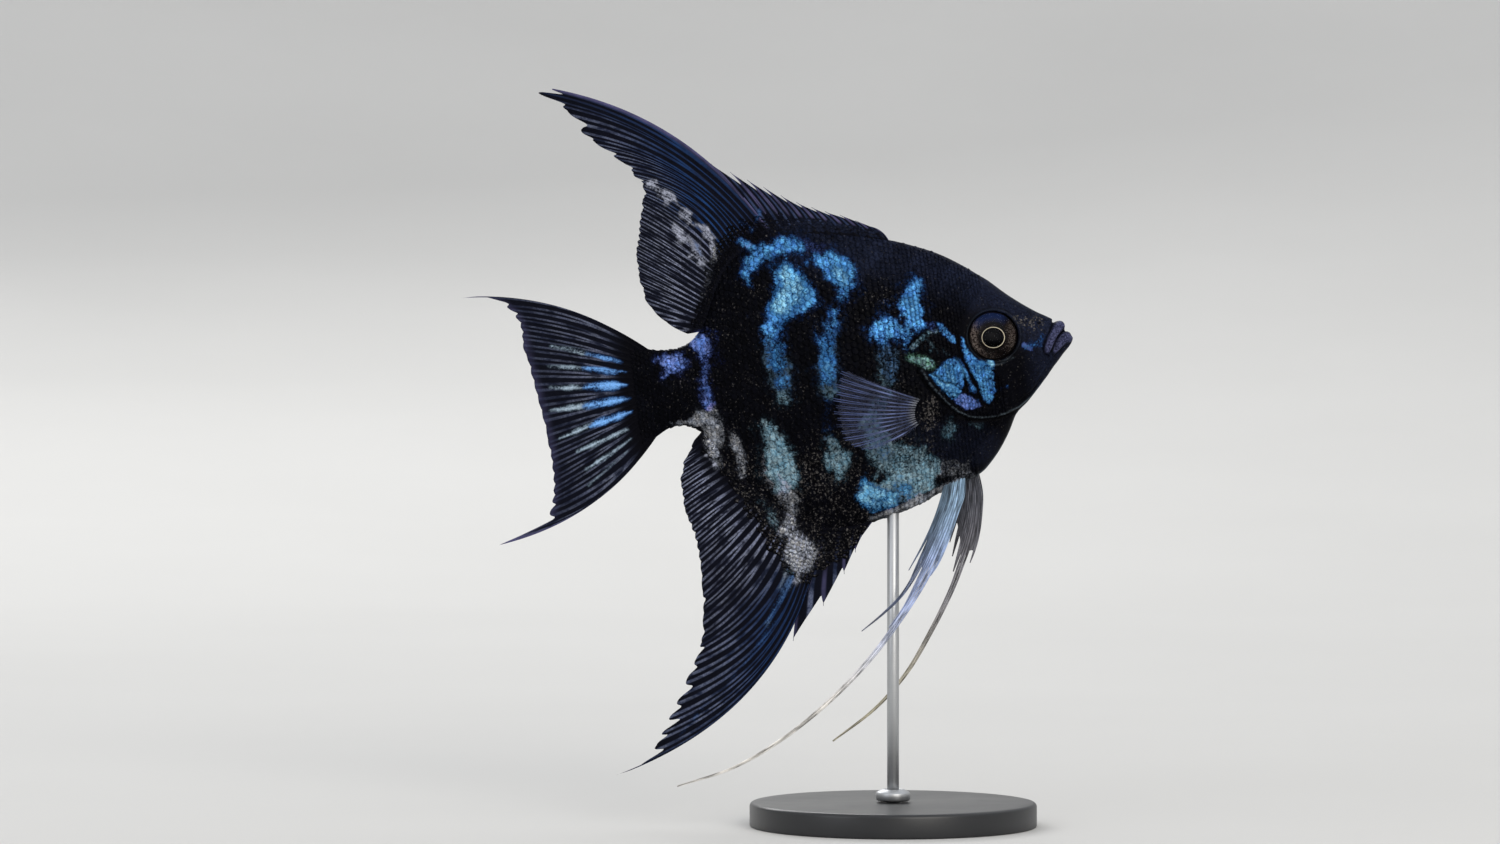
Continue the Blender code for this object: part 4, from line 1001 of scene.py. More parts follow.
def coat_lattice():
    """(S, Q) of every scale's root on one flank, pitch and row spacing there."""
    columns, at = [], COAT_START
    while at < COAT_END:
        columns.append(at)
        at += float(smooth(PITCH, at))
    roots = []
    for index, at in enumerate(columns):
        row = float(smooth(ROW, at))
        up, down = (float(np.interp(at, GIRTH_S, GIRTH_REACH[way])) - RIDGE_MARGIN for way in (0, 1))
        steps = np.arange(-int(down / (2 * row)) - 1, int(up / (2 * row)) + 2)
        q = (2 * steps + (index % 2)) * row
        q = q[(q > -down) & (q < up)]
        roots.append(np.column_stack([np.full(len(q), at), q, np.full(len(q), float(smooth(PITCH, at))),
                                      np.full(len(q), row)]))
    return np.concatenate(roots)


def may_grow(s, h):
    """Where a scale may be rooted: scaled skin, clear of open folds and of the breast fin's root."""
    grows = scaled(s, h) > 0.5
    for depth, wide, shade, line in CREASES:
        if depth > 0.2 and shade > 0.6:
            grows &= inside(s + 0.35, h, line) < -(wide + 0.16)
    pad = np.hypot((s - PECTORAL_PAD[0] - 0.8) / 1.6, (h - PECTORAL_PAD[1]) / 3.4)
    return grows & (pad > 1)


lattice = coat_lattice()
PARTS_OF_FLANK = (("front", 0, 45), ("rear", 45, 100))
scale_count = 0
SCALE_LOOK = skin_material("fish_scales", 0.03, 0.36)
for side, word in ((-1, "right"), (1, "left")):
    rooted = lattice.copy()
    rooted[:, :2] += np.random.default_rng(61 + side).normal(0, 0.05, (len(lattice), 2))
    place, _ = flank(rooted[:, 0], rooted[:, 1], side)
    rooted = rooted[may_grow(place[:, 0], place[:, 2])]
    for part, low, high in PARTS_OF_FLANK:
        here = rooted[(rooted[:, 0] >= low) & (rooted[:, 0] < high)]
        scale_count += coat("scales_%s_%s" % (word, part), lambda a, b: flank(a, b, side), side,
                            here[:, 0], here[:, 1], SCALE_LONG * here[:, 2], SCALE_WIDE * here[:, 3],
                            71 + side, relief if part == "front" else None)
print("scales on both flanks:", scale_count)

# %% [markdown]
# ## Eyes
#
# A fish's lens is a ball that bulges through the pupil, and the iris round it is a shallow,
# mottled dish with a thread of gold at its inner edge. Over both stands a clear cornea. The eye
# is a profile turned round its own axis; the axis leans a little forward, square to the cheek.

# %% Eye shapes
EYE_TURN = np.linspace(0, 2 * math.pi, 96, endpoint=False)
PUPIL = 2.42                                # radius of the gold ring's middle, mm
RING_HALF = 0.058                           # half its width, mm
EYE_PROFILE = ((0, 0.16), (0.7, 0.12), (1.3, 0.02), (1.75, -0.12), (2.05, -0.32), (2.16, -0.46),
        (2.22, -0.34), (2.3, -0.16), (2.42, -0.08), (2.54, -0.14), (2.62, -0.26), (2.9, -0.28), (3.4, -0.3),
        (4, -0.4), (4.6, -0.58), (5, -0.78), (5.22, -1.02), (5.25, -1.5), (5, -1.9), (3, -2.1), (0, -2.15))
CORNEA_RISE = 0.92                          # peak of the cornea above its rim, mm
CORNEA_RIM = 5.12
CORNEA_THICK = 0.1
CORNEA_SEAT = -0.35                         # height of its rim off the cheek, mm
PUPIL_POINT = 0.05                          # how far the pupil is drawn out towards the snout
PUPIL_SHIFT = (0.27, -0.38)                 # the pupil's place off the eye's middle: back, up, mm


def eye_frame(side):
    """The eye's centre on the cheek and its three directions: along, up, and out, each square to
    the others, from the plane that fits the cheek."""
    centre = np.array([EYE_AT[0], side * eye_plane(*EYE_AT), EYE_AT[1]])
    out = unit(np.array([-0.21, side, 0.06]))
    along_s = unit(np.array([1, 0, 0]) - out[0] * out)
    return centre, along_s, np.cross(along_s, out) * side, out


def turned_eye(side, radius, height, drawn=0):
    """Points of a turned form: centre + radius (cos, sin) + height out, the radius drawn out
    forwards by a share that fades beyond the iris."""
    centre, along_s, up, out = eye_frame(side)
    radius, height = radius[:, None], height[:, None, None]
    within_ring = drawn * ease(3.4 - radius, 0, 1)
    r = radius * (1 - within_ring * np.cos(EYE_TURN))
    squash = EYE_REACH[1] / EYE_REACH[0] * (1 - 1.8 * within_ring)
    shift = ease(4.6 - radius, 0, 1.6) * (drawn > 0)
    return (centre + (r * np.cos(EYE_TURN) + PUPIL_SHIFT[0] * shift)[..., None] * along_s
            + (r * squash * np.sin(EYE_TURN) + PUPIL_SHIFT[1] * shift)[..., None] * up + height * out)


def turned_faces(rows, columns):
    """Faces of a turned form whose first and last rows are poles, numbered after the rest."""
    ring = np.arange(columns)
    foot = ring + (rows - 3) * columns
    first = np.full(columns, (rows - 2) * columns)
    return [grid_faces(rows - 2, columns, closed=True), np.stack([first, np.roll(ring, -1), ring], 1),
            np.stack([first + 1, foot, np.roll(foot, -1)], 1)]


def poles_last(points):
    """A turned grid's inner rows, then its two poles as single points."""
    return np.concatenate([points[1:-1].reshape(-1, points.shape[-1]), points[0, :1], points[-1, :1]])


print("eye profile rows:", len(EYE_PROFILE), "reach, mm:", EYE_REACH)

# %% [markdown]
# ### What the eye is made of
#
# The lens is nearly black glass. The iris is dark brown tissue sown with bronze and silver
# crystals that gather in two crescents; along its top a blue reflection is painted. The cornea
# is clear, wet tissue with an index just above water's.

# %% Eye materials
def eye_material():
    """Iris, gold thread and lens in one wet surface, told apart by the attribute parts:
    ring, pupil, bronze and a painted blue reflection along the top."""
    add = new_material("iris_and_lens")
    parts = add("Attribute parts")
    ring, pupil, crystal = add("SeparateColor", parts).node.outputs
    painted_reflection_on_top = parts.node.outputs[3]
    place = add("Mapping", add("TexCoord"), PER_MM)
    mottle = add("TexNoise", place, 2.6, 4, 0.65)
    grain = add("TexVoronoi", place, 5)
    patchy = add("MapRange SMOOTHSTEP", mottle, 0.42, 0.66)
    colour = add("Mix", patchy, "#060505", "#120D0D")
    bronze = add("MapRange SMOOTHSTEP", mottle, 0.4, 0.6)
    bronze = add("MULTIPLY", bronze, crystal)
    metal = add("Mix", grain, "#83766F", "#171212")
    colour = add("Mix", bronze, colour, metal)
    # Painted blue reflection along the iris's top.
    blue = add("MULTIPLY", painted_reflection_on_top, patchy)
    blue = add("MAXIMUM", blue, add("MULTIPLY", painted_reflection_on_top, 0.55))
    colour = add("Mix", blue, colour, "#16264C")
    colour = add("Mix", ring, colour, "#EADFC4")
    colour = add("Mix", pupil, colour, "#010102")
    rough = add("MapRange", pupil, 0, 1, 0.4, 0.2)
    shine = add("MAXIMUM", ring, bronze)
    shine = add("MULTIPLY", shine, 0.35)
    rough_iris = add("MULTIPLY", mottle, add("MapRange", pupil, 0, 1, 1, 0))
    bump = add("Bump", 0.8, 0.06 * MM, rough_iris)
    return add("OutputMaterial", add("BsdfPrincipled", {
        "Base Color": colour, "Roughness": rough, "Metallic": shine, "Normal": bump,
        "Specular IOR Level": 0.01}))


def cornea_material():
    """Clear wet tissue. Light goes nearly straight through it, as it does under water, and only a
    trace is mirrored by its wet surface."""
    add = new_material("cornea")
    wave = add("TexNoise", add("TexCoord"), 260, 1)
    tint = add("Mix", wave, "#E8EEFF", "#DDE4F6")
    bump = add("Bump", 0.2, 0.01 * MM, wave)
    return add("OutputMaterial", add("BsdfPrincipled", {
        "Base Color": tint, "Roughness": 0.12, "Metallic": 1, "Alpha": 0.0008, "Normal": bump}))


EYE_LOOK, CORNEA_LOOK = eye_material(), cornea_material()
radius, height = along(EYE_PROFILE, np.linspace(0, 1, 120)).T
radius[0] = radius[-1] = 0
turn, r = EYE_TURN, radius[:, None]
# Painted gleam: the gold ring is paler towards its upper front, where the key lamp is.
painted_gleam = 0.85 + 0.15 * np.cos(turn - 2.4)
ring_mask = np.exp(-((r - PUPIL) / RING_HALF) ** 4) * (height > -1.2)[:, None] * painted_gleam
pupil_mask = ease(2.27 - r, 0, 0.06) + 0 * turn
on_iris = ease(r, 2.6, 3) * ease(5.15 - r, 0, 0.4)
crescents = np.maximum(ease(np.cos(turn - 0.05), 0.45, 0.95), 0.6 * ease(np.cos(turn + 3), 0.6, 1))
crescents = np.maximum(crescents, 0.3 * ease(np.cos(turn + 0.9), 0.6, 1))
bronze_mask = 0.95 * (on_iris * ease(r, 2.8, 4) * ease(5.12 - r, 0, 0.5)) * crescents
# Painted blue reflection along the top of the iris.
painted_top_reflection_mask = on_iris * ease(np.cos(turn - math.pi / 2 + 0.1), 0.45, 0.9) * ease(r, 3, 4.2)
eye_parts = np.stack([ring_mask, pupil_mask, bronze_mask, painted_top_reflection_mask], -1)
cap = np.linspace(0, 1, 14)
outer_r, outer_h = CORNEA_RIM * np.sin(cap * math.pi / 2), CORNEA_RISE * np.cos(cap * math.pi / 2)
shell_r = np.concatenate([outer_r, (outer_r - CORNEA_THICK * cap)[::-1]])
shell_h = np.concatenate([outer_h, (outer_h - CORNEA_THICK)[::-1]]) + CORNEA_SEAT
for side, word in ((-1, "right"), (1, "left")):
    iris, cornea = turned_eye(side, radius, height, PUPIL_POINT), turned_eye(side, shell_r, shell_h)
    for part, look, points, layers in (("iris", EYE_LOOK, iris, {"parts": poles_last(eye_parts)}),
                                       ("cornea", CORNEA_LOOK, cornea, None)):
        make_piece("eye_%s_%s" % (word, part), to_room(poles_last(points)), turned_faces(*points.shape[:2]),
                   look, ("eye_" + word,), layers)

# %% [markdown]
# ## Fins
#
# A fin is two skins stretched over a fan of bony rays. Each ray leaves the body, bows a little
# and forks towards its tip; the membrane between two rays ends short of them, so that the free
# edge is a row of small fingers. One grid makes a whole fin: its columns follow the rays, its
# rows walk outwards, and the two faces swell over each ray.

# %% Lines of the fins
DORSAL_SPINES, ANAL_SPINES = 11, 5
# Each fin: roots and tips of its rays as (share, S, H), how far its rays bow as (share, mm), how
# far it sways out of the middle plane at SWAY_PER mm, and its node.
FINS = {
    "dorsal_spines": (
        ((0, 36.3, 26), (0.2, 41.5, 27.4), (0.4, 47.2, 28.7), (0.6, 52.2, 29.5), (0.8, 56.4, 29.8),
         (1, 61, 29.6)),
        ((0, 38.9, 28.3), (0.1, 41.9, 29.9), (0.2, 44.9, 31.4), (0.3, 47.9, 32.5), (0.4, 50.6, 33.7),
         (0.5, 53.6, 35.1), (0.6, 56.7, 36.9), (0.7, 60.1, 39.1), (0.8, 63.3, 41), (0.9, 66.6, 43),
         (1, 70.4, 45.2)),
        ((0, 0.3), (1, 0.6)),
        0, "dorsal_fin_spiny"),
    "dorsal_rays": (
        ((0, 60, 29.8), (0.12, 63.7, 28.9), (0.27, 67.7, 27.2), (0.37, 70.1, 25.4), (0.44, 71.2, 24.1),
         (0.6, 73.4, 20.4), (0.76, 75.1, 16.5), (0.91, 76.7, 13.2), (1, 78.3, 10.9)),
        ((0, 102.3, 65.5), (0.03, 105.1, 64.9), (0.07, 100.3, 60.8), (0.12, 97.3, 55.4), (0.17, 92.8, 51.4),
         (0.22, 89, 47.8), (0.27, 87.2, 45), (0.32, 85.7, 43.4), (0.37, 85.7, 41.4), (0.44, 86.2, 39),
         (0.52, 87.3, 35.5), (0.6, 88.1, 32.5), (0.68, 88.6, 29.4), (0.76, 88.8, 26.2), (0.84, 88.6, 22.8),
         (0.91, 87.8, 19), (0.96, 85.2, 14.5), (1, 80.4, 10.8)),
        ((0, 5.8), (0.12, 4.2), (0.22, 3.6), (0.32, 2.4), (0.44, 1), (0.6, 0.4), (1, 0)),
        1.6, "dorsal_fin_soft"),
    "anal_spines": (
        ((0, 47.2, -33.6), (0.5, 51.6, -34.1), (1, 58.6, -33.2)),
        ((0, 48.5, -35.1), (0.25, 50.5, -38.2), (0.5, 53.4, -42.4), (0.75, 58.5, -48.5), (1, 65.6, -55)),
        ((0, 0), (1, 0.6)),
        0, "anal_fin_spiny"),
    "anal_rays": (
        ((0, 56.2, -33.6), (0.18, 60.2, -31.9), (0.36, 64.8, -29.4), (0.5, 68, -25.8), (0.66, 72, -21.4),
         (0.82, 76, -15.6), (1, 79.8, -10.2)),
        ((0, 106.5, -78.9), (0.04, 100.7, -77.3), (0.08, 97.2, -73), (0.13, 94.3, -68.6), (0.18, 90, -62.6),
         (0.24, 86.8, -56.7), (0.3, 85, -52.7), (0.36, 84, -47.5), (0.42, 83.5, -43.7), (0.5, 83.4, -37.1),
         (0.58, 83.9, -32.6), (0.66, 84.6, -28.2), (0.74, 85.3, -24), (0.82, 85.3, -20), (0.89, 84.5, -16.7),
         (1, 81.6, -11.8)),
        ((0, -9.3), (0.14, -7.6), (0.22, -5.6), (0.3, -2.8), (0.36, -1.6), (0.5, -0.2), (1, 0)),
        -1.2, "anal_fin_soft"),
    "tail_rays": (
        ((0, 88.3, 8.6), (0.5, 88.5, 0), (1, 88.3, -9)),
        ((0, 126.5, 24), (0.03, 121.3, 23.7), (0.06, 117.6, 21.6), (0.1, 116.1, 19.7), (0.17, 114.9, 16.8),
         (0.25, 114.5, 13.4), (0.33, 114, 9.2), (0.42, 113.2, 3.9), (0.5, 112.5, -1.3), (0.58, 111.8, -6.5),
         (0.67, 111.6, -10.9), (0.75, 111.7, -14.9), (0.83, 112.2, -18.7), (0.91, 113.1, -22.1),
         (0.95, 114.4, -24.7), (0.975, 118.4, -26.3), (1, 124.7, -28.2)),
        ((0, 3.6), (0.12, 1.6), (0.3, 0.5), (0.5, 0), (0.7, -0.3), (0.85, -1), (1, -4.2)),
        -3, "caudal_fin"),
}
# Notches of a fin's free edge: where, how deep in mm, and half how wide.
DORSAL_NOTCHES = ((0.015, 4, 0.007), (0.05, 3.2, 0.01), (0.095, 2.6, 0.009), (0.13, 1.2, 0.007),
        (0.18, 1.4, 0.008), (0.23, 1, 0.008), (0.29, 0.9, 0.009), (0.37, 0.6, 0.01), (0.45, 0.5, 0.008))
ANAL_NOTCHES = ((0.055, 3.2, 0.007), (0.085, 1.8, 0.006), (0.115, 2.8, 0.008), (0.145, 1.4, 0.006),
        (0.175, 1.8, 0.008), (0.215, 1, 0.007), (0.26, 1.2, 0.008), (0.31, 0.6, 0.008), (0.4, 0.5, 0.008))
TAIL_NOTCHES = ((0.055, 1.5, 0.01), (0.945, 1.5, 0.01), (0.1, 0.6, 0.01), (0.9, 0.6, 0.01))
SWAY_PER = 50


def fin_place(fin, share, r):
    """(S, H) on a fan of rays, and each ray's length: start + run r + normal bend 4 r (1 - r)."""
    base, tip, bow = fin[:3]
    start, end = fan(base, share), fan(tip, share)
    run = end - start
    reach = np.linalg.norm(run, axis=-1)
    normal = np.stack([-run[..., 1], run[..., 0]], -1) / reach[..., None]
    bend = smooth(bow, share) * 4 * r * (1 - r)
    return start + run * r[..., None] + normal * bend[..., None], reach


longest = fin_place(FINS["dorsal_rays"], np.array(0.03), np.array(1))[1]
print("longest dorsal ray, mm:", round(float(longest), 1))

# %% [markdown]
# ### Streaks on the fins
#
# Near the tail's root the pigment between the rays lights up in blue lines that fade outwards,
# and the long rays of the anal fin carry blue threads. They are strokes too, but only the fins
# read them.

# %% Streaks of the fins
TAIL_STREAKS = (
    (0.85, ((94.2, 6.6, 0.2), (97.2, 7.8, 0.5), (101.3, 9.4, 0.4))),
    (1, ((93.4, 4.4, 0.1), (97.5, 5.2, 0.7), (102.4, 6.3, 0.4))),
    (1, ((93.6, 1.8, 0.1), (96.6, 2, 0.9), (99.7, 2.3, 0.9), (102.6, 2.4, 0.5))),
    (1, ((93.3, -1.1, 0.1), (95.8, -1.2, 0.7), (99.4, -1.4, 0.9), (102.9, -1.6, 0.5))),
    (1, ((93.4, -3.9, 0.1), (96.2, -4.5, 0.8), (99.5, -5.1, 0.8), (102.4, -5.9, 0.4))))
TAIL_PALE = (
    (0.9, ((100.3, 9, 0.4), (104.6, 10.6, 0.6), (108.5, 11.8, 0.2))),
    (0.9, ((101.4, 6.1, 0.5), (105.4, 6.9, 0.6), (109.5, 7.6, 0.2))),
    (0.8, ((102, 2.4, 0.6), (105.4, 2.7, 0.7), (109.6, 3.2, 0.3))),
    (0.9, ((102, -1.5, 0.7), (105.6, -1.5, 0.7), (110.3, -1.5, 0.3))),
    (0.9, ((101.6, -5.5, 0.6), (105, -6.5, 0.7), (109, -7.6, 0.3))),
    (0.9, ((94.6, -7.4, 0.3), (97.8, -8.4, 0.6), (101.8, -9.6, 0.7), (105.7, -10.8, 0.3))),
    (0.8, ((94.3, -9.6, 0.3), (99, -12.2, 0.5), (104.3, -14.6, 0.4))),
    (0.6, ((95.3, -12, 0.2), (99.8, -15.1, 0.4), (104.3, -18.1, 0.3))))
ANAL_STREAKS = (
    (0.45, ((64.2, -42, 0.8), (66.6, -45.4, 1.1), (68.7, -48.2, 1), (71.2, -51.5, 0.5))),
    (0.3, ((60, -42.7, 0.4), (63, -47.6, 0.6), (66.4, -52.2, 0.4))),
    (0.35, ((67, -49, 0.4), (71, -53.3, 0.7), (75.8, -58.5, 0.6), (80.4, -62.5, 0.3))),
    (0.35, ((83.5, -64.6, 0.3), (87.6, -68.4, 0.8), (92.2, -72.6, 0.4))),
    (0.3, ((57.4, -40, 0.3), (59.6, -44.2, 0.6), (62, -48, 0.3))))
print("streaks on tail and anal fin:", len(TAIL_STREAKS + TAIL_PALE + ANAL_STREAKS))


def fin_marks(s, h, streaks, pale):
    """Blue, teal, violet and pale masks on a fin: the body's marbling with the fin's own lines."""
    masks = marbling(s, h, -1)[..., :4]
    for index, lines in enumerate((streaks, pale)):
        masks[..., index] = np.maximum(masks[..., index], strokes_at(s, h, -1, lines, 0.25))
    return masks


# %% [markdown]
# ### The fins' finish
#
# Fin membrane is thin, dark and slightly glossy, the rays are paler bone under it, broken into
# short joints, and grey pigment lies along the rays in dashes. The attribute ray gives the
# pattern its own measures: which ray, and how many millimetres out along it.

# %% Fin material
def fin_material():
    """Dark membrane over jointed rays; zones tells how strong the dashes, the black root, the
    violet edge and the blue lines are."""
    add = new_material("fin_membrane_and_rays")
    marks, zones, ray = add("Attribute marks"), add("Attribute zones"), add("Attribute ray", out=1)
    mark = add("SeparateColor", marks).node.outputs
    grey_zone, root_zone, edge_zone = add("SeparateColor", zones).node.outputs
    swell = add("SeparateXYZ", ray).node.outputs[2]
    place = add("Mapping", add("TexCoord"), PER_MM)
    cloud = add("TexNoise", place, 0.35, 3)
    grain = add("TexNoise", place, 3.2, 3)
    speck = add("SeparateColor", add("TexVoronoi", place, 2.6, out=1))
    # Dashes: noise stretched along the rays, about two to a ray and four millimetres long.
    streak = add("TexNoise", add("Mapping", ray, (1.1, 0.22, 0)), 1, 3, 0.6)
    dash = add("MapRange SMOOTHSTEP", streak, 0.36, 0.6)
    ridge = add("MapRange SMOOTHSTEP", swell, 0.15, 0.75)
    dash = add("MULTIPLY", dash, ridge)
    dash_grain = add("MapRange", grain, 0.32, 0.62, 0.3, 1)
    dash = add("MULTIPLY", dash, dash_grain)

    colour = add("Mix", cloud, "#06070D", "#0F111D")
    on_ray = add("MULTIPLY", ridge, 0.55)
    colour = add("Mix", on_ray, colour, "#1F2231")
    lined = add("MULTIPLY", zones.node.outputs[3], ridge)
    lined = add("MULTIPLY", lined, add("MapRange", streak, 0.3, 0.65, 0.15, 1))
    colour = add("Mix", lined, colour, "#1D3A68")
    grey = add("MULTIPLY", grey_zone, dash)
    grey_colour = add("Mix", cloud, "#9DA2B2", "#7780A4")
    colour = add("Mix", grey, colour, grey_colour)
    violet = add("MapRange", streak, 0.3, 0.6, 0.45, 1)
    violet = add("MULTIPLY", edge_zone, violet)
    colour = add("Mix", violet, colour, "#56547A")
    colour = add("Mix", root_zone, colour, "#07070C")
    # On a fin the marbling is combed: it follows the rays and thins out between them.
    fleck = add("MULTIPLY_ADD", streak, 1.9, -0.72)
    fleck = add("MULTIPLY_ADD", speck, 0.35, fleck)
    fleck = add("MULTIPLY_ADD", grain, 1, fleck)
    fleck = add("MULTIPLY_ADD", ridge, 0.25, fleck)
    for mask, low, high in (
            (mark[1], "#1A2632", "#A6BACC"), (marks.node.outputs[3], "#20232C", "#B4B9CC"),
            (mark[2], "#1D2550", "#7080C4"), (mark[0], "#163668", "#7AB2F4")):
        level = add("MULTIPLY", mask, fleck)
        lit = add("MapRange SMOOTHSTEP", level, 0.18, 0.85)
        bright = add("MapRange SMOOTHSTEP", level, 0.2, 1.45)
        pick = add("Mix", bright, low, high)
        colour = add("Mix", lit, colour, pick)
    joint = add("TexWave Y", add("Mapping", ray, (0, 1, 0)), 0.32, 0)
    joint = add("MULTIPLY", joint, swell)
    height = add("MULTIPLY_ADD", joint, 0.5, streak)
    bump = add("Bump", 0.8, 0.05 * MM, height)
    rough = add("MapRange", grain, 0, 1, 0.38, 0.52)
    return add("OutputMaterial", add("BsdfPrincipled", {
        "Base Color": colour, "Roughness": rough, "Specular IOR Level": 0.03, "IOR": 1.42,
        "Normal": bump}))


FIN_LOOK = fin_material()
print("fin finish:", FIN_LOOK.name)

# %% Fin plates
MEMBRANE_HALF = 0.1                         # half thickness of the membrane, mm
RAY_HEIGHT = 0.12
SHEATH_HALF = 0.42                          # flesh over the roots of the rays, mm
ROOT_INSIDE = 1.4                           # how deep a fin's root lies in the body, mm


def ray_swell(phase, r, fork):
    """Height of the rays from 0 to 1 at a phase counted in rays: one round ridge that parts into
    two in the outer half."""
    inner = np.mod(phase, 1) - 0.5
    apart = 0.21 * fork * ease(r, 0.2, 0.65)
    narrow = 0.15 - 0.05 * ease(r, 0.2, 0.6)
    return np.maximum(bell(inner, apart, narrow), bell(inner, -apart, narrow))


def both_sides(values):
    """A grid's rows of numbers twice over, for the near and the far side of a plate."""
    return np.concatenate([values.reshape(-1, values.shape[-1])] * 2)


def make_fin(name, rays, notches, zones_of, streaks=(), pale=(), fork=1, sheath=5, rows=60,
             per_ray=12, teeth=0, notch=0):
    """One fin of the table. notches are the deep cuts of its free edge; between them each ray
    stands a little out of the membrane. zones_of(share, r, out) gives the four zone masks."""
    sway, node = FINS[name][3:]
    share = np.linspace(0, 1, rays * per_ray + 1)[None]
    phase = share * rays
    middle_of_ray = 1 - np.abs(2 * np.mod(phase, 1) - 1)
    _, reach = fin_place(FINS[name], share, 0 * share)
    uneven = noise(phase * 0.9, 0 * phase + 3.3, 91) * 0.5 + 0.5
    drawn_in = (0.7 * uneven * (1 - middle_of_ray**0.7) + 0.8 * uneven) * (not teeth)
    for at, deep, wide in notches:
        drawn_in = drawn_in + deep * bell(share, at, wide)
    edge = 1 - drawn_in / reach
    if teeth:
        tooth = np.mod(share * teeth + 1e-6, 1)
        edge = edge * (1 - notch * (1 - tooth) * ease(tooth, 0, 0.1) * (share < 1))
    walk = np.linspace(0, 1, rows)[:, None]
    r = -ROOT_INSIDE / reach + (edge + ROOT_INSIDE / reach) * walk
    share, phase, reach = (np.broadcast_to(value, r.shape) for value in (share, phase, reach))
    s, h = np.moveaxis(fin_place(FINS[name], share, r)[0], -1, 0)
    out = r * reach
    swell = ray_swell(phase, r, fork)
    half = (MEMBRANE_HALF * (1 - 0.4 * walk) + RAY_HEIGHT * swell * (1 - 0.75 * ease(r, 0, 1))
            + SHEATH_HALF * np.exp(-np.clip(out, 0, None) / sheath))
    half = half * (1 - 0.6 * ease(walk, 0.97, 1))
    middle = sway * (np.clip(out, 0, None) / SWAY_PER) ** 2
    middle = middle + 0.12 * np.sin(phase * 0.9 + r * 4) * ease(r, 0.2, 1)
    points = np.concatenate([np.stack([s, y, h], -1).reshape(-1, 3) for y in (middle - half, middle + half)])
    make_piece(name, to_room(points), plate_faces(*r.shape), FIN_LOOK, (node,),
               {"marks": both_sides(fin_marks(s, h, streaks, pale)),
                "zones": both_sides(zones_of(share, r, out)),
                "ray": both_sides(np.stack([phase, out, swell * ease(out, 0, 2)], -1))})


def zone_stack(dashes, root, edge, lines):
    """The four zone masks as one attribute, kept between 0 and 1."""
    return np.clip(np.stack(np.broadcast_arrays(dashes, root, edge, lines), -1), 0, 1)


# %% [markdown]
# ### Dorsal, anal and tail fins
#
# The front of the dorsal and anal fins stands on stiff spines, with the membrane cut like saw
# teeth between them. Behind come the soft rays, the first of them drawn out into long
# streamers. The front of each soft fin is navy with thin blue lines; its rear lobe is black with
# pale dashes. The tail fin has a violet line along its upper and lower edge.

# %% Zones of colour on the fins
def dorsal_zones(share, r, out):
    """Navy with blue lines in front, pale dashes in the rear lobe and at the streamer's tips."""
    rear = ease(share, 0.36, 0.44)
    tips = ease(r, 0.5, 0.9) * ease(share, 0.03, 0.1)
    dashes = np.maximum(0.8 * rear * ease(out, 0.5, 3) * (1 - 0.5 * ease(r, 0.5, 1)), 0.35 * tips)
    edge = 0.9 * ease(0.014 - share, 0, 0.012)
    lines = (1 - rear) * ease(r, 0.02, 0.15) * (1 - 0.75 * ease(r, 0.45, 0.9))
    lines = lines * (0.7 + 0.3 * ease(share, 0.05, 0.2))
    root = 0.6 * ease(3 - out, 0, 2)
    return zone_stack(dashes, root, edge, lines)


def dorsal_spine_zones(share, r, out):
    """Lilac lines beside each spine on dark membrane."""
    beside = np.abs(np.mod(share * (DORSAL_SPINES - 1) + 0.5, 1) - 0.5)
    lilac = 0.8 * ease(0.2 - beside, 0, 0.12) * ease(r, 0.25, 0.5)
    return zone_stack(0.1, 0.5 * ease(0.35 - r, 0, 0.3), lilac, 0.45)


def anal_zones(share, r, out):
    """Blue lines along the first rays, pale dashes behind, violet along the leading edge."""
    rear = ease(share, 0.2, 0.36)
    near_body = 0.85 * rear * ease(out, 2, 6) * (1 - 0.65 * ease(out, 9, 20))
    dashes = np.maximum(near_body, 0.4 * ease(r, 0.5, 0.85) * ease(share, 0.03, 0.08))
    edge = 0.9 * ease(0.014 - share, 0, 0.012)
    lines = 0.6 * (1 - rear) * ease(r, 0.12, 0.3) * (1 - 0.6 * ease(r, 0.6, 0.95))
    return zone_stack(dashes, 0.8 * ease(6 - out, 0, 5), edge, lines)


def anal_spine_zones(share, r, out):
    """Dark, with pale lines beside each spine."""
    beside = np.abs(np.mod(share * (ANAL_SPINES - 1) + 0.5, 1) - 0.5)
    return zone_stack(0.5 * ease(r, 0.45, 0.7), 0.6 * ease(0.4 - r, 0, 0.3),
                      0.45 * ease(0.14 - beside, 0, 0.1) * ease(r, 0.4, 0.7), 0.4 * ease(r, 0.35, 0.7))


def tail_zones(share, r, out):
    """Black at the root, pale dashes over the fan, violet along the upper and lower edges."""
    border = np.minimum(share, 1 - share)
    edge = 0.9 * ease(0.02 - border, 0, 0.018) + 0.35 * ease(r, 0.9, 1)
    dashes = 0.42 * ease(out, 6, 11) * (1 - 0.75 * ease(r, 0.45, 1))
    return zone_stack(dashes, ease(10 - out, 0, 5), edge, 0.1 * ease(out, 4, 12))


# %% Make the fins of the middle plane
make_fin("dorsal_spines", DORSAL_SPINES - 1, (), dorsal_spine_zones, fork=0, sheath=2, rows=26,
         per_ray=16, teeth=DORSAL_SPINES - 1, notch=0.26)
make_fin("dorsal_rays", 28, DORSAL_NOTCHES, dorsal_zones)
make_fin("anal_spines", ANAL_SPINES - 1, (), anal_spine_zones, fork=0, sheath=4, rows=36,
         per_ray=24, teeth=ANAL_SPINES - 1, notch=0.16)
make_fin("anal_rays", 28, ANAL_NOTCHES, anal_zones, ANAL_STREAKS)
make_fin("tail_rays", 20, TAIL_NOTCHES, tail_zones, TAIL_STREAKS, TAIL_PALE)

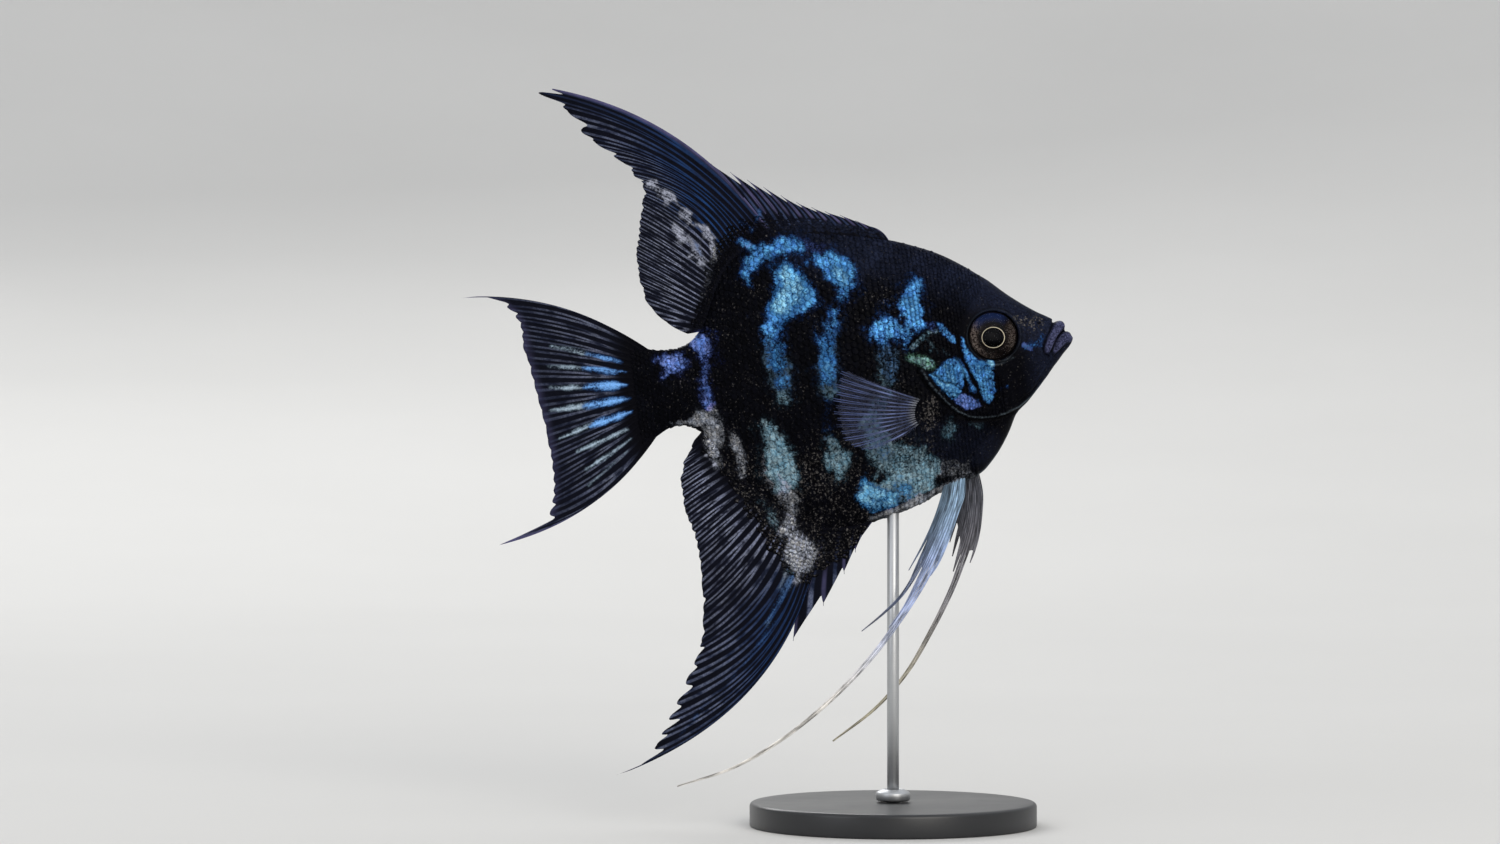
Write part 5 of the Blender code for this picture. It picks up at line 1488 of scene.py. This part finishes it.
# %% [markdown]
# ### Ribs
#
# Spines and free rays are tapered rods. Each is a path in the side view with a half-width along
# it, given an oval section. Many ribs can be joined in one piece.

# %% Ribs
def rib(path, wide, thick, around, ray):
    """Points, faces and ray coordinates of a closed rod along (n, 3) points: at each an oval, wide
    across in the side view and thick through it."""
    run = unit(np.gradient(path, axis=0))
    flat = unit(np.stack([-run[:, 2], 0 * run[:, 1], run[:, 0]], -1))
    deep = np.cross(run, flat)
    turn = np.linspace(0, 2 * math.pi, around, endpoint=False)
    ring = (path[:, None] + (flat * wide[:, None])[:, None] * np.cos(turn)[:, None]
            + (deep * thick[:, None])[:, None] * np.sin(turn)[:, None])
    count = len(path) * around
    loop = np.arange(around)
    start = np.stack([np.roll(loop, -1), loop, np.full(around, count)], 1)
    loop = loop + count - around
    end = np.stack([loop, np.roll(loop, -1), np.full(around, count + 1)], 1)
    return (np.concatenate([ring.reshape(-1, 3), path[:1], path[-1:]]),
            grid_faces(len(path), around, closed=True), np.concatenate([start, end]),
            np.concatenate([np.repeat(ray, around, axis=0), ray[:1], ray[-1:]]))


def join(parts):
    """Several (points, quads, triangles, ray coordinates) as one: points, faces, coordinates."""
    points, quads, triangles, rays = zip(*parts)
    starts = np.cumsum([0] + [len(part) for part in points])
    faces = [np.concatenate([part + start for part, start in zip(kind, starts)])
             for kind in (quads, triangles)]
    return np.concatenate(points), faces, np.concatenate(rays)


SPINE_STEPS = 26
SPINE_ZONES = (0.15, 0, 0.3, 0.2)


def spines_of(name, fin, count, wide, past):
    """The stiff spines of a fin's front, each from inside the body to a sharp tip that stands
    past millimetres beyond the membrane."""
    parts = []
    taper = np.linspace(1, 0.12, SPINE_STEPS) ** 0.8
    for share in np.linspace(0, 1, count):
        shares = np.full(SPINE_STEPS, share)
        _, reach = fin_place(fin, shares, 0 * shares)
        r = np.linspace(-1.2 / reach[0], 1 + past / reach[0], SPINE_STEPS)
        flat, _ = fin_place(fin, shares, r)
        path = np.stack([flat[:, 0], 0 * r, flat[:, 1]], -1)
        ray = np.stack([shares * count * 1.7, r * reach, 0.6 + 0 * r], -1)
        parts.append(rib(path, wide * taper, (wide + 0.05) * taper, 8, ray))
    points, faces, rays = join(parts)
    make_piece(name, to_room(points), faces, FIN_LOOK, fin[4:],
               {"marks": np.zeros((len(points), 4)), "ray": rays,
                "zones": np.tile(SPINE_ZONES, (len(points), 1))})


spines_of("dorsal_spine_rods", FINS["dorsal_spines"], DORSAL_SPINES, 0.2, 0.4)
spines_of("anal_spine_rods", FINS["anal_spines"], ANAL_SPINES, 0.24, 0.6)

# %% [markdown]
# ### Scaled roots of the fins
#
# Small scales climb from the flank on to the roots of the fins, far out on the front of the anal
# fin and only a little way elsewhere, so that the body's outline melts into them.

# %% Sheath scales
def sheath(name, cover, reach_of_flesh, seed):
    """Scales over the root of a fin, on both its sides, out to a curve of (share, mm)."""
    rng = np.random.default_rng(seed)
    fin = FINS[name]
    line = fan(fin[0], np.linspace(0, 1, 200))
    length = float(np.linalg.norm(np.diff(line, axis=0), axis=1).sum())
    pitch, row = 0.8, 0.5
    outs = np.arange(-0.9, smooth(cover, np.linspace(0, 1, 50)).max(), pitch)
    out, step = np.meshgrid(outs, np.arange(0, int(length / (2 * row))), indexing="ij")
    across = (2 * step + (np.arange(len(outs)) % 2)[:, None]) * row + rng.normal(0, 0.05, out.shape)
    out = out + rng.normal(0, 0.08, out.shape)
    keep = ((out < smooth(cover, across / length) + rng.normal(0, 0.4, out.shape))
            & (across > 0.2) & (across < length - 0.2))
    out, across = out[keep], across[keep]
    for side, word in ((-1, "right"), (1, "left")):
        def surface(a, b):
            share = np.clip(b / length, 0, 1)
            _, reach = fin_place(fin, share, 0 * a)
            flat, _ = fin_place(fin, share, a / reach)
            beyond = np.clip(a, 0, None)
            half = MEMBRANE_HALF + 0.5 * RAY_HEIGHT + SHEATH_HALF * np.exp(-beyond / reach_of_flesh) + 0.05
            y = fin[3] * (beyond / SWAY_PER) ** 2 + side * half
            return np.stack([flat[..., 0], y, flat[..., 1]], -1), np.array([0, side, 0])
        coat("scales_%s_%s" % (name, word), surface, side, out, across, np.full(len(out), 1.5 * pitch),
             np.full(len(out), 2.3 * row), seed)


sheath("dorsal_spines", ((0, 0.6), (0.6, 1.8), (1, 3.4)), 2, 101)
sheath("dorsal_rays", ((0, 4), (0.3, 2.6), (0.6, 1.2), (1, 0.8)), 5, 102)
sheath("anal_spines", ((0, 0.4), (0.3, 2.6), (0.6, 6), (1, 9.5)), 4, 103)
sheath("anal_rays", ((0, 9), (0.12, 10), (0.25, 8.5), (0.4, 5), (0.6, 2.5), (0.8, 1.2), (1, 0.5)),
       5, 104)

# %% [markdown]
# ## Breast fins
#
# The breast fin is a clear fan: thin membrane, and rays like threads of glass that fork once,
# white where they leave the skin. The membrane lets the flank's pattern show through, so it is a
# separate piece with its own, half-clear finish.

# %% Breast fin finishes
PECTORAL = (                                # roots and tips of its rays, and their bow
    ((0, 33.5, -8.6), (0.25, 34.5, -9.7), (0.5, 35.1, -11.2), (0.75, 35.2, -12.6), (1, 34.6, -14)),
    ((0, 49, -0.4), (0.15, 50.6, -2.8), (0.35, 51.5, -6.6), (0.6, 51.7, -11), (0.8, 50.6, -14.8),
     (0.92, 48.4, -17.2), (1, 44.5, -17.9)),
    ((0, -0.2), (1, -0.6)),
)
PECTORAL_FLARE = 2.6
PECTORAL_RAYS = 13


def thread_material(name, root, middle, tip, gloss, fade=0.35):
    """Bone rays under thin skin: colour runs from root to tip by the attribute ray, with fine
    joints and lengthwise streaks."""
    add = new_material(name)
    ray = add("Attribute ray", out=1)
    number, outwards, _ = add("SeparateXYZ", ray).node.outputs
    streak = add("TexNoise", add("Mapping", ray, (6.5, 3, 0.22)), 1, 3)
    first = add("MapRange SMOOTHSTEP", outwards, 0.02, fade)
    second = add("MapRange SMOOTHSTEP", outwards, 0.35, 0.8)
    colour = add("Mix", first, root, middle)
    colour = add("Mix", second, colour, tip)
    shade = add("MapRange", streak, 0.36, 0.64, 0.3, 1.15)
    behind = add("MapRange SMOOTHSTEP", number, 1.5, 3.4, 1, 0.38)
    shade = add("MULTIPLY", shade, behind)
    colour = add("Mix MULTIPLY", 1, colour, shade)
    joint = add("TexWave Z", add("Mapping", ray, (0, 0, 1)), 0.4, 0.3)
    height = add("ADD", joint, streak)
    bump = add("Bump", 0.12, 0.03 * MM, height)
    rough = add("MapRange", streak, 0, 1, gloss, gloss + 0.12)
    return add("OutputMaterial", add("BsdfPrincipled", {
        "Base Color": colour, "Roughness": rough, "Specular IOR Level": 0.08, "IOR": 1.45,
        "Normal": bump}))


def clear_membrane():
    """Thin wet membrane, about a third opaque, faintly lilac, with streaks along the rays."""
    add = new_material("clear_fin_membrane")
    streak = add("TexNoise", add("Mapping", add("Attribute ray", out=1), (30, 2, 0.3)), 1, 2)
    colour = add("Mix", streak, "#4E5474", "#8C93B4")
    rough = add("MapRange", streak, 0, 1, 0.25, 0.4)
    return add("OutputMaterial", add("BsdfPrincipled", {
        "Base Color": colour, "Roughness": rough, "Specular IOR Level": 0.02, "Alpha": 0.05}))


THREAD_LOOK = thread_material("breast_fin_rays", "#A4A8B2", "#67739C", "#465279", 0.35, 0.12)
MEMBRANE_LOOK = clear_membrane()
print("breast fin rays:", PECTORAL_RAYS)

# %% Make the breast fins
def pectoral_place(share, r, side, lift):
    """(S, Y, H) on the breast fin: the fan, standing off the flank more and more outwards."""
    flat, reach = fin_place(PECTORAL, share, r)
    s, h = flat[..., 0], flat[..., 1]
    off = 1.15 * ease(r, -0.07, 0.08) - 0.45 + PECTORAL_FLARE * np.clip(r, 0, None) ** 1.3
    off = off + 0.25 * np.sin(share * 9) * r
    return np.stack([s, side * (half_width(s, h) + off + lift), h], -1), reach


def make_pectoral(word, side):
    """Threads that fork once at the middle, and the membrane between them."""
    parts = []
    for index, share in enumerate((np.arange(PECTORAL_RAYS) + 0.5) / PECTORAL_RAYS):
        r = np.linspace(-0.06, 1 - 0.03 * (index % 2) - 0.04 * abs(share - 0.4), 22)
        taper = 0.125 * (1 - 0.4 * ease(r, 0.1, 0.9)) + 0.03 * bell(r, 0.05, 0.05)
        for fork in (-1, 1):
            apart = fork * 0.16 / PECTORAL_RAYS * ease(r, 0.25, 0.8)
            path, reach = pectoral_place(share + apart, r, side, 0.05)
            parts.append(rib(path, taper, taper * 0.9, 6, np.stack([share + 0 * r, r, r * reach], -1)))
    points, faces, rays = join(parts)
    node = ("pectoral_fin_" + word,)
    make_piece("pectoral_rays_" + word, to_room(points), faces, THREAD_LOOK, node,
               {"ray": rays})
    share = np.linspace(0, 1, PECTORAL_RAYS * 6 + 1)[None]
    middle = 1 - np.abs(2 * np.mod(share * PECTORAL_RAYS, 1) - 1)
    reach_out = 0.97 - 0.035 * (1 - middle) - 0.03 * (0.5 + 0.5 * noise(share * 11, 0 * share + 1, 93))
    r = -0.05 + (reach_out + 0.05) * np.linspace(0, 1, 30)[:, None]
    share = np.broadcast_to(share, r.shape)
    near, reach = pectoral_place(share, r, side, 0.02)
    points = np.concatenate([near.reshape(-1, 3), pectoral_place(share, r, side, 0.08)[0].reshape(-1, 3)])
    make_piece("pectoral_membrane_" + word, to_room(points), plate_faces(*r.shape), MEMBRANE_LOOK,
               node, {"ray": both_sides(np.stack([share, r, r * reach], -1))})


make_pectoral("right", -1)
make_pectoral("left", 1)

# %% [markdown]
# ## Pelvic fins
#
# Under the breast hang two narrow fins of a few rays each. The second ray is drawn out into a
# thread longer than the body is tall. They are pale: sky blue at the root, then lilac white, and
# cream at the tips. The left fin, on the far side, gets a darker, greyer copy of these colours as
# painted shade.

# %% Lines of the pelvic fins
PELVIC_ROOT_Y = 1.6
PELVIC_SPLAY = 5.4
PELVIC_REACH = 40
THREAD_REACH = 70                           # mm from a ray's root to where its colour is the tip's
RIGHT_ROOT, LEFT_ROOT = (25.9, -27.3), (22.9, -26.5)
RIGHT_PELVIC = (
    ((26.4, -26, 0.42), (26.9, -29.5, 0.46), (28.4, -32.6, 0.44), (30.9, -37.8, 0.36), (34, -43.2, 0.24),
        (35.8, -45.4, 0.1)),
    ((27.2, -26, 0.5), (28.3, -30.2, 0.62), (30.6, -35.2, 0.74), (33.9, -41, 0.8), (36.6, -45.2, 0.82),
        (38.5, -47.8, 0.78), (43.3, -53.6, 0.66), (50.8, -61.3, 0.54), (60.5, -69, 0.46),
        (70.8, -75.3, 0.38), (81.4, -79.8, 0.3), (93.3, -82.2, 0.16)),
    ((28, -26.2, 0.46), (29.2, -30.2, 0.54), (31.8, -35.4, 0.6), (35.2, -41.2, 0.58), (38.6, -46.4, 0.46),
        (42, -51.2, 0.3), (45.7, -55, 0.1)),
    ((28.8, -26.3, 0.42), (30, -30, 0.5), (32.6, -35, 0.54), (36.2, -40.8, 0.52), (39.4, -45.4, 0.44),
        (42.4, -48.8, 0.34), (46.6, -52, 0.24), (51.4, -55, 0.09)),
    ((29.5, -26.4, 0.38), (30.7, -29.8, 0.42), (33, -34.4, 0.44), (36, -39.4, 0.36), (38.4, -43.2, 0.24),
        (40.2, -46, 0.09)),
    ((30.1, -26.5, 0.34), (31.2, -29.4, 0.36), (33.2, -33.6, 0.34), (36.2, -38.4, 0.24),
        (40.1, -43.7, 0.08)))
LEFT_PELVIC = (
    ((23.2, -25.4, 0.42), (22.9, -29.5, 0.46), (23.5, -34, 0.42), (24.6, -38.6, 0.34), (26, -42.2, 0.22),
        (26.9, -44, 0.09)),
    ((24.1, -25.4, 0.48), (24.2, -30.2, 0.6), (25.2, -35.4, 0.7), (26.9, -40.2, 0.76), (28.6, -43.7, 0.74),
        (31.2, -48.8, 0.64), (37.1, -57.9, 0.54), (43, -65.6, 0.44), (50.3, -72.1, 0.34), (60, -77.9, 0.16)),
    ((25, -25.6, 0.46), (25.3, -30.2, 0.54), (26.4, -35.2, 0.58), (28.2, -40, 0.5), (29.6, -43.2, 0.3),
        (30.6, -45.4, 0.1)),
    ((25.8, -25.8, 0.42), (26.3, -30, 0.5), (27.4, -34.4, 0.5), (29, -38.6, 0.36), (30.4, -42.2, 0.1)),
    ((26.6, -26, 0.38), (27.2, -29.6, 0.42), (28.3, -33.4, 0.38), (29.6, -36.8, 0.22), (30.6, -39.2, 0.08)))


def splay(side, s, h, root):
    """How far from the middle plane a pelvic fin is at (S, H), more as it hangs from its root."""
    down = np.clip(np.hypot(s - root[0], h - root[1]) / PELVIC_REACH, 0, 2.2)
    return side * (PELVIC_ROOT_Y + PELVIC_SPLAY * np.sin(down * 0.9))


def pelvic_ray(line, side, root, steps):
    """A ray's path and half-width at even steps along its line."""
    s, h, wide = along(line, np.linspace(0, 1, steps)).T
    return np.stack([s, splay(side, s, h, root), h], -1), np.clip(wide, 0.05, None)


def make_pelvic(word, side, root, lines, look):
    """Each ray is a bundle of three strands; a thin, darker web joins neighbours over the first
    part of their length."""
    parts, webs = [], []
    for index, line in enumerate(lines):
        path, wide = pelvic_ray(line, side, root, 90 if index == 1 else 40)
        path[:, 1] += side * 0.1 * (index % 2)
        run = np.gradient(path, axis=0)
        across = np.stack([-run[:, 2], 0 * run[:, 1], run[:, 0]], -1) / np.linalg.norm(run, axis=1)[:, None]
        walk = np.linalg.norm(path - path[0], axis=1)
        for strand in (-0.66, 0, 0.66):
            ray = np.stack([index + 0.17 * strand + 0 * walk, walk / THREAD_REACH, walk], -1)
            parts.append(rib(path + across * (strand * wide)[:, None], 0.27 * wide + 0.02,
                             0.22 * np.sqrt(wide / wide.max()) + 0.04, 8, ray))
    even, cross = np.linspace(0, 1, 40), np.linspace(0, 1, 7)[:, None, None]
    for index, pair in enumerate(zip(lines[:-1], lines[1:])):
        walk = (0.86 - 0.05 * index) * even
        paths = (pelvic_ray(line[:6], side, root, 40)[0] for line in pair)
        a, b = (np.stack([np.interp(walk, even, axis) for axis in path.T], -1) for path in paths)
        sheet = a + (b - a) * cross
        pull = 1 - 0.1 * np.sin(cross * math.pi) * even[:, None] ** 4
        sheet = sheet[:, :1] + (sheet - sheet[:, :1]) * pull
        thin = np.array([0, 0.06, 0])
        down = np.linalg.norm(sheet - sheet[:, :1], axis=-1)
        coord = np.stack([2.4 + 0.4 * index + cross[..., 0] + 0 * down, down / THREAD_REACH, down], -1)
        webs.append((np.concatenate([(sheet - thin).reshape(-1, 3), (sheet + thin).reshape(-1, 3)]),
                     plate_faces(*down.shape), np.zeros((0, 3), int), both_sides(coord)))
    nodes = ("pelvic_fin_" + word, "pelvic_filament_%s_1" % word, "pelvic_filament_%s_2" % word)
    for kind, group, replaced in (("rays", parts, nodes), ("web", webs, nodes[:1])):
        points, faces, rays = join(group)
        make_piece("pelvic_%s_%s" % (kind, word), to_room(points), faces, look, replaced,
                   {"ray": rays})


RIGHT_LOOK = thread_material("pelvic_rays_bright", "#A9C8E4", "#A8B6DC", "#F4F0EA", 0.34)
# The left fin's colours are a darker, greyer copy: painted shade on the far side.
LEFT_LOOK = thread_material("pelvic_rays_shaded", "#70727C", "#86848A", "#D6CFB8", 0.38)
make_pelvic("right", -1, RIGHT_ROOT, RIGHT_PELVIC, RIGHT_LOOK)
make_pelvic("left", 1, LEFT_ROOT, LEFT_PELVIC, LEFT_LOOK)

# %% [markdown]
# ## Stand
#
# The fish stands over a turned steel disc with a satin black paint, on a thin brushed steel rod
# that enters the breast behind the pelvic fins. A collar of the same steel closes the hole round
# the rod. The forms are profiles turned on a lathe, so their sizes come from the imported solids.

# %% Turned stand
LATHE_TURNS = 128


def lathe(radius, height, turns):
    """(X, Y, Z) of a profile turned about the upright axis: radius (cos, sin), height."""
    turn = np.linspace(0, 2 * math.pi, turns, endpoint=False)
    radius, height = np.array(radius)[:, None], np.array(height)[:, None]
    return np.stack([radius * np.cos(turn), radius * np.sin(turn), height + 0 * turn], -1)


def turned(name, profile, look, node):
    """A closed turned form from (radius, height) rows in metres; rows on the axis become poles."""
    radius, height = np.array(profile, float).T
    points = lathe(radius, height, LATHE_TURNS)
    if radius[0] < 1e-9 and radius[-1] < 1e-9:
        faces = turned_faces(len(radius), LATHE_TURNS)
        points = poles_last(points)
    else:
        faces = grid_faces(len(radius) + 1, LATHE_TURNS, closed=True) % (len(radius) * LATHE_TURNS)
        points = points.reshape(-1, 3)
    make_piece(name, points, faces, look, (node,))


def rounded(radius, height, size, start, end):
    """Four points round a corner of this size, from start to end degrees."""
    turn = np.radians(np.linspace(start, end, 5))
    return [(radius + size * math.cos(a), height + size * math.sin(a)) for a in turn]


def painted_metal():
    """Satin black paint on steel, sprayed: a fine orange-peel skin, faintly mottled paler and darker."""
    add = new_material("satin_black_paint")
    spot = add("TexCoord")
    peel = add("TexNoise", spot, 700, 3)
    dust = add("TexNoise", spot, 45, 5)
    colour = add("Mix", dust, "#1A1B1D", "#232427")
    rough = add("MapRange", dust, 0.3, 0.7, 0.3, 0.42)
    bump = add("Bump", 0.35, 0.02 * MM, peel)
    return add("OutputMaterial", add("BsdfPrincipled", {
        "Base Color": colour, "Roughness": rough, "Normal": bump}))


def brushed_steel():
    """Stainless steel brushed round its axis: fine rings of scratches, so the gloss spreads up
    and down."""
    add = new_material("brushed_steel")
    scratch = add("TexNoise", add("Mapping", add("TexCoord"), (60, 60, 9000)), 1, 3)
    colour = add("Mix", scratch, "#A9ABAD", "#C4C6C8")
    rough = add("MapRange", scratch, 0, 1, 0.38, 0.52)
    bump = add("Bump", 0.3, 0.01 * MM, scratch)
    return add("OutputMaterial", add("BsdfPrincipled", {
        "Base Color": colour, "Roughness": rough, "Metallic": 1, "Normal": bump}))


PAINT_LOOK, STEEL_LOOK = painted_metal(), brushed_steel()
(_, base_high), (rod_low, rod_high), (collar_low, collar_high) = (
    [np.array(corner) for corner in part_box(node)] for node in ("stand_base", "stand_rod", "stand_collar"))
disc, thick = base_high[0], base_high[2]
rod_radius = (rod_high[0] - rod_low[0]) / 2
hole = rod_radius + 0.3 * MM
ring = (collar_high[0] - collar_low[0]) / 2
edge = 0.8 * MM
base_profile = ([(0, 0), (disc - 3 * edge, 0), (disc - 2 * edge, 0)]
                + rounded(disc - edge / 2, edge / 2, edge / 2, -90, 0)
                + rounded(disc - edge, thick - edge, edge, 0, 90)
                + [(disc - 3 * edge, thick), (disc * 0.5, thick), (hole + 0.6 * MM, thick)]
                + [(hole + 0.15 * MM, thick), (hole, thick - 0.15 * MM), (hole, rod_low[2] - 0.3 * MM),
                   (0, rod_low[2] - 0.3 * MM)])
turned("stand_base_turned", base_profile, PAINT_LOOK, "stand_base")
rod_profile = [(0, rod_low[2]), (rod_radius - 0.2 * MM, rod_low[2]), (rod_radius, rod_low[2] + 0.2 * MM),
               (rod_radius, (rod_low[2] + rod_high[2]) / 2), (rod_radius, rod_high[2] - 0.3 * MM),
               (rod_radius - 0.3 * MM, rod_high[2]), (0, rod_high[2])]
turned("stand_rod_turned", rod_profile, STEEL_LOOK, "stand_rod")
foot, crown = collar_low[2], collar_high[2]
collar_profile = ([(hole, foot), (ring - 0.3 * MM, foot), (ring, foot + 0.3 * MM), (ring, crown - 1.1 * MM)]
                  + rounded(ring - 0.7 * MM, crown - 1.1 * MM, 0.7 * MM, 10, 60)
                  + [(hole + 0.7 * MM, crown), (hole + 0.2 * MM, crown), (hole, crown - 0.2 * MM)])
turned("stand_collar_turned", collar_profile, STEEL_LOOK, "stand_collar")

# %% [markdown]
# ## Floor and studio light
#
# A pale, matt sweep of card stands under and round the model: flat for some way, then rising in
# a wide bowl, so that every direction looks at the same quiet ground. A large soft lamp in front
# and above gives the shape, a weaker one fills from the other side, and a strip behind draws a
# thin line of light along the back.

# %% Floor, lamps and camera
FLOOR_FLAT = 0.5                            # radius of the flat middle, metres
FLOOR_TURNS = 72
BOWL_REACH = 3.2                            # how far the bowl goes on beyond it, metres
BOWL_RISE = 2.2                             # how high the bowl rises, metres


def sweep_material():
    """Matt card: pale, with the faintest mottling of its pulp."""
    add = new_material("matt_card")
    pulp = add("TexNoise", add("TexCoord"), 3, 4)
    colour = add("Mix", pulp, "#C9C8C5", "#D3D2CF")
    return add("OutputMaterial", add("BsdfPrincipled", {
        "Base Color": colour, "Roughness": 0.9, "Specular IOR Level": 0.15}))


def make_floor():
    """The sweep, as a profile turned about the model: level to FLOOR_FLAT, then a quarter of an
    ellipse up to BOWL_RISE."""
    bend = np.linspace(0, math.pi / 2, 16)
    radius = np.concatenate([[0.02, 0.15, 0.3], FLOOR_FLAT + BOWL_REACH * np.sin(bend)])
    height = np.concatenate([[0, 0, 0], BOWL_RISE * (1 - np.cos(bend))])
    points = np.concatenate([lathe(radius, height, FLOOR_TURNS).reshape(-1, 3), np.zeros((1, 3))])
    ring = np.arange(FLOOR_TURNS)
    middle = np.stack([np.full(FLOOR_TURNS, len(points) - 1), np.roll(ring, -1), ring], 1)
    faces = [grid_faces(len(radius), FLOOR_TURNS, closed=True)[:, ::-1], middle]
    floor, _ = make_mesh("studio_sweep", points, faces, sweep_material())
    floor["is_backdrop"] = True


def add_lamp(name, place, aim, size, watts, colour):
    """A soft square lamp at place, turned to face aim."""
    lamp = bpy.data.lights.new(name, "AREA")
    lamp.shape = "RECTANGLE"
    lamp.size, lamp.size_y = size
    lamp.energy = watts
    lamp.color = paint(colour)[:3]
    holder = bpy.data.objects.new(name, lamp)
    run = np.array(aim) - np.array(place)
    flat = math.hypot(run[0], run[1])
    holder.location = place
    holder.rotation_euler = (math.pi / 2 + math.atan2(run[2], flat), 0, math.atan2(-run[0], run[1]))
    bpy.context.scene.collection.objects.link(holder)


CAMERA_BACK = 0.9                           # metres from the fish's middle plane
SENSOR = 36                                 # mm
VIEW_WIDE = 0.3135                          # width of the view at the fish, metres
VIEW_CENTRE = (-0.0299, 0.0844)
camera_data = bpy.data.cameras.new("camera")
camera_data.sensor_width = SENSOR
camera_data.lens = SENSOR * CAMERA_BACK / VIEW_WIDE
camera_data.clip_end = 30
camera = bpy.data.objects.new("camera", camera_data)
camera.location = (VIEW_CENTRE[0], -CAMERA_BACK, VIEW_CENTRE[1])
camera.rotation_euler = (math.pi / 2, 0, 0)
bpy.context.scene.collection.objects.link(camera)
bpy.context.scene.camera = camera

make_floor()
FISH_MIDDLE = (-0.02, 0, 0.09)
add_lamp("key_lamp", (0.7, -1.55, 0.7), FISH_MIDDLE, (0.9, 0.9), 13, "#FFFAF2")
add_lamp("fill_lamp", (-1.4, -1.25, 0.55), FISH_MIDDLE, (0.9, 0.9), 5, "#F2F6FF")
add_lamp("back_lamp", (-0.5, 1.3, 1), FISH_MIDDLE, (1.2, 0.4), 8, "#FFFFFF")

world = bpy.data.worlds.new("studio")
world.use_nodes = True
world.node_tree.nodes["Background"].inputs["Color"].default_value = paint("#E8EAEE")
world.node_tree.nodes["Background"].inputs["Strength"].default_value = 1.15
bpy.context.scene.world = world
bpy.context.scene.view_settings.view_transform = "Standard"
print("lens, mm:", round(camera_data.lens, 1))

# %% [markdown]
# ## The size of the model
#
# Both boxes, the imported model's and the finished one's, are printed so that they can be
# compared.

model_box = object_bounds()
for word, box in (("packed", cad_box), ("dressed", model_box)):
    print(word, "box, mm:", [round((float(high) - float(low)) / MM, 1) for low, high in zip(*box)])
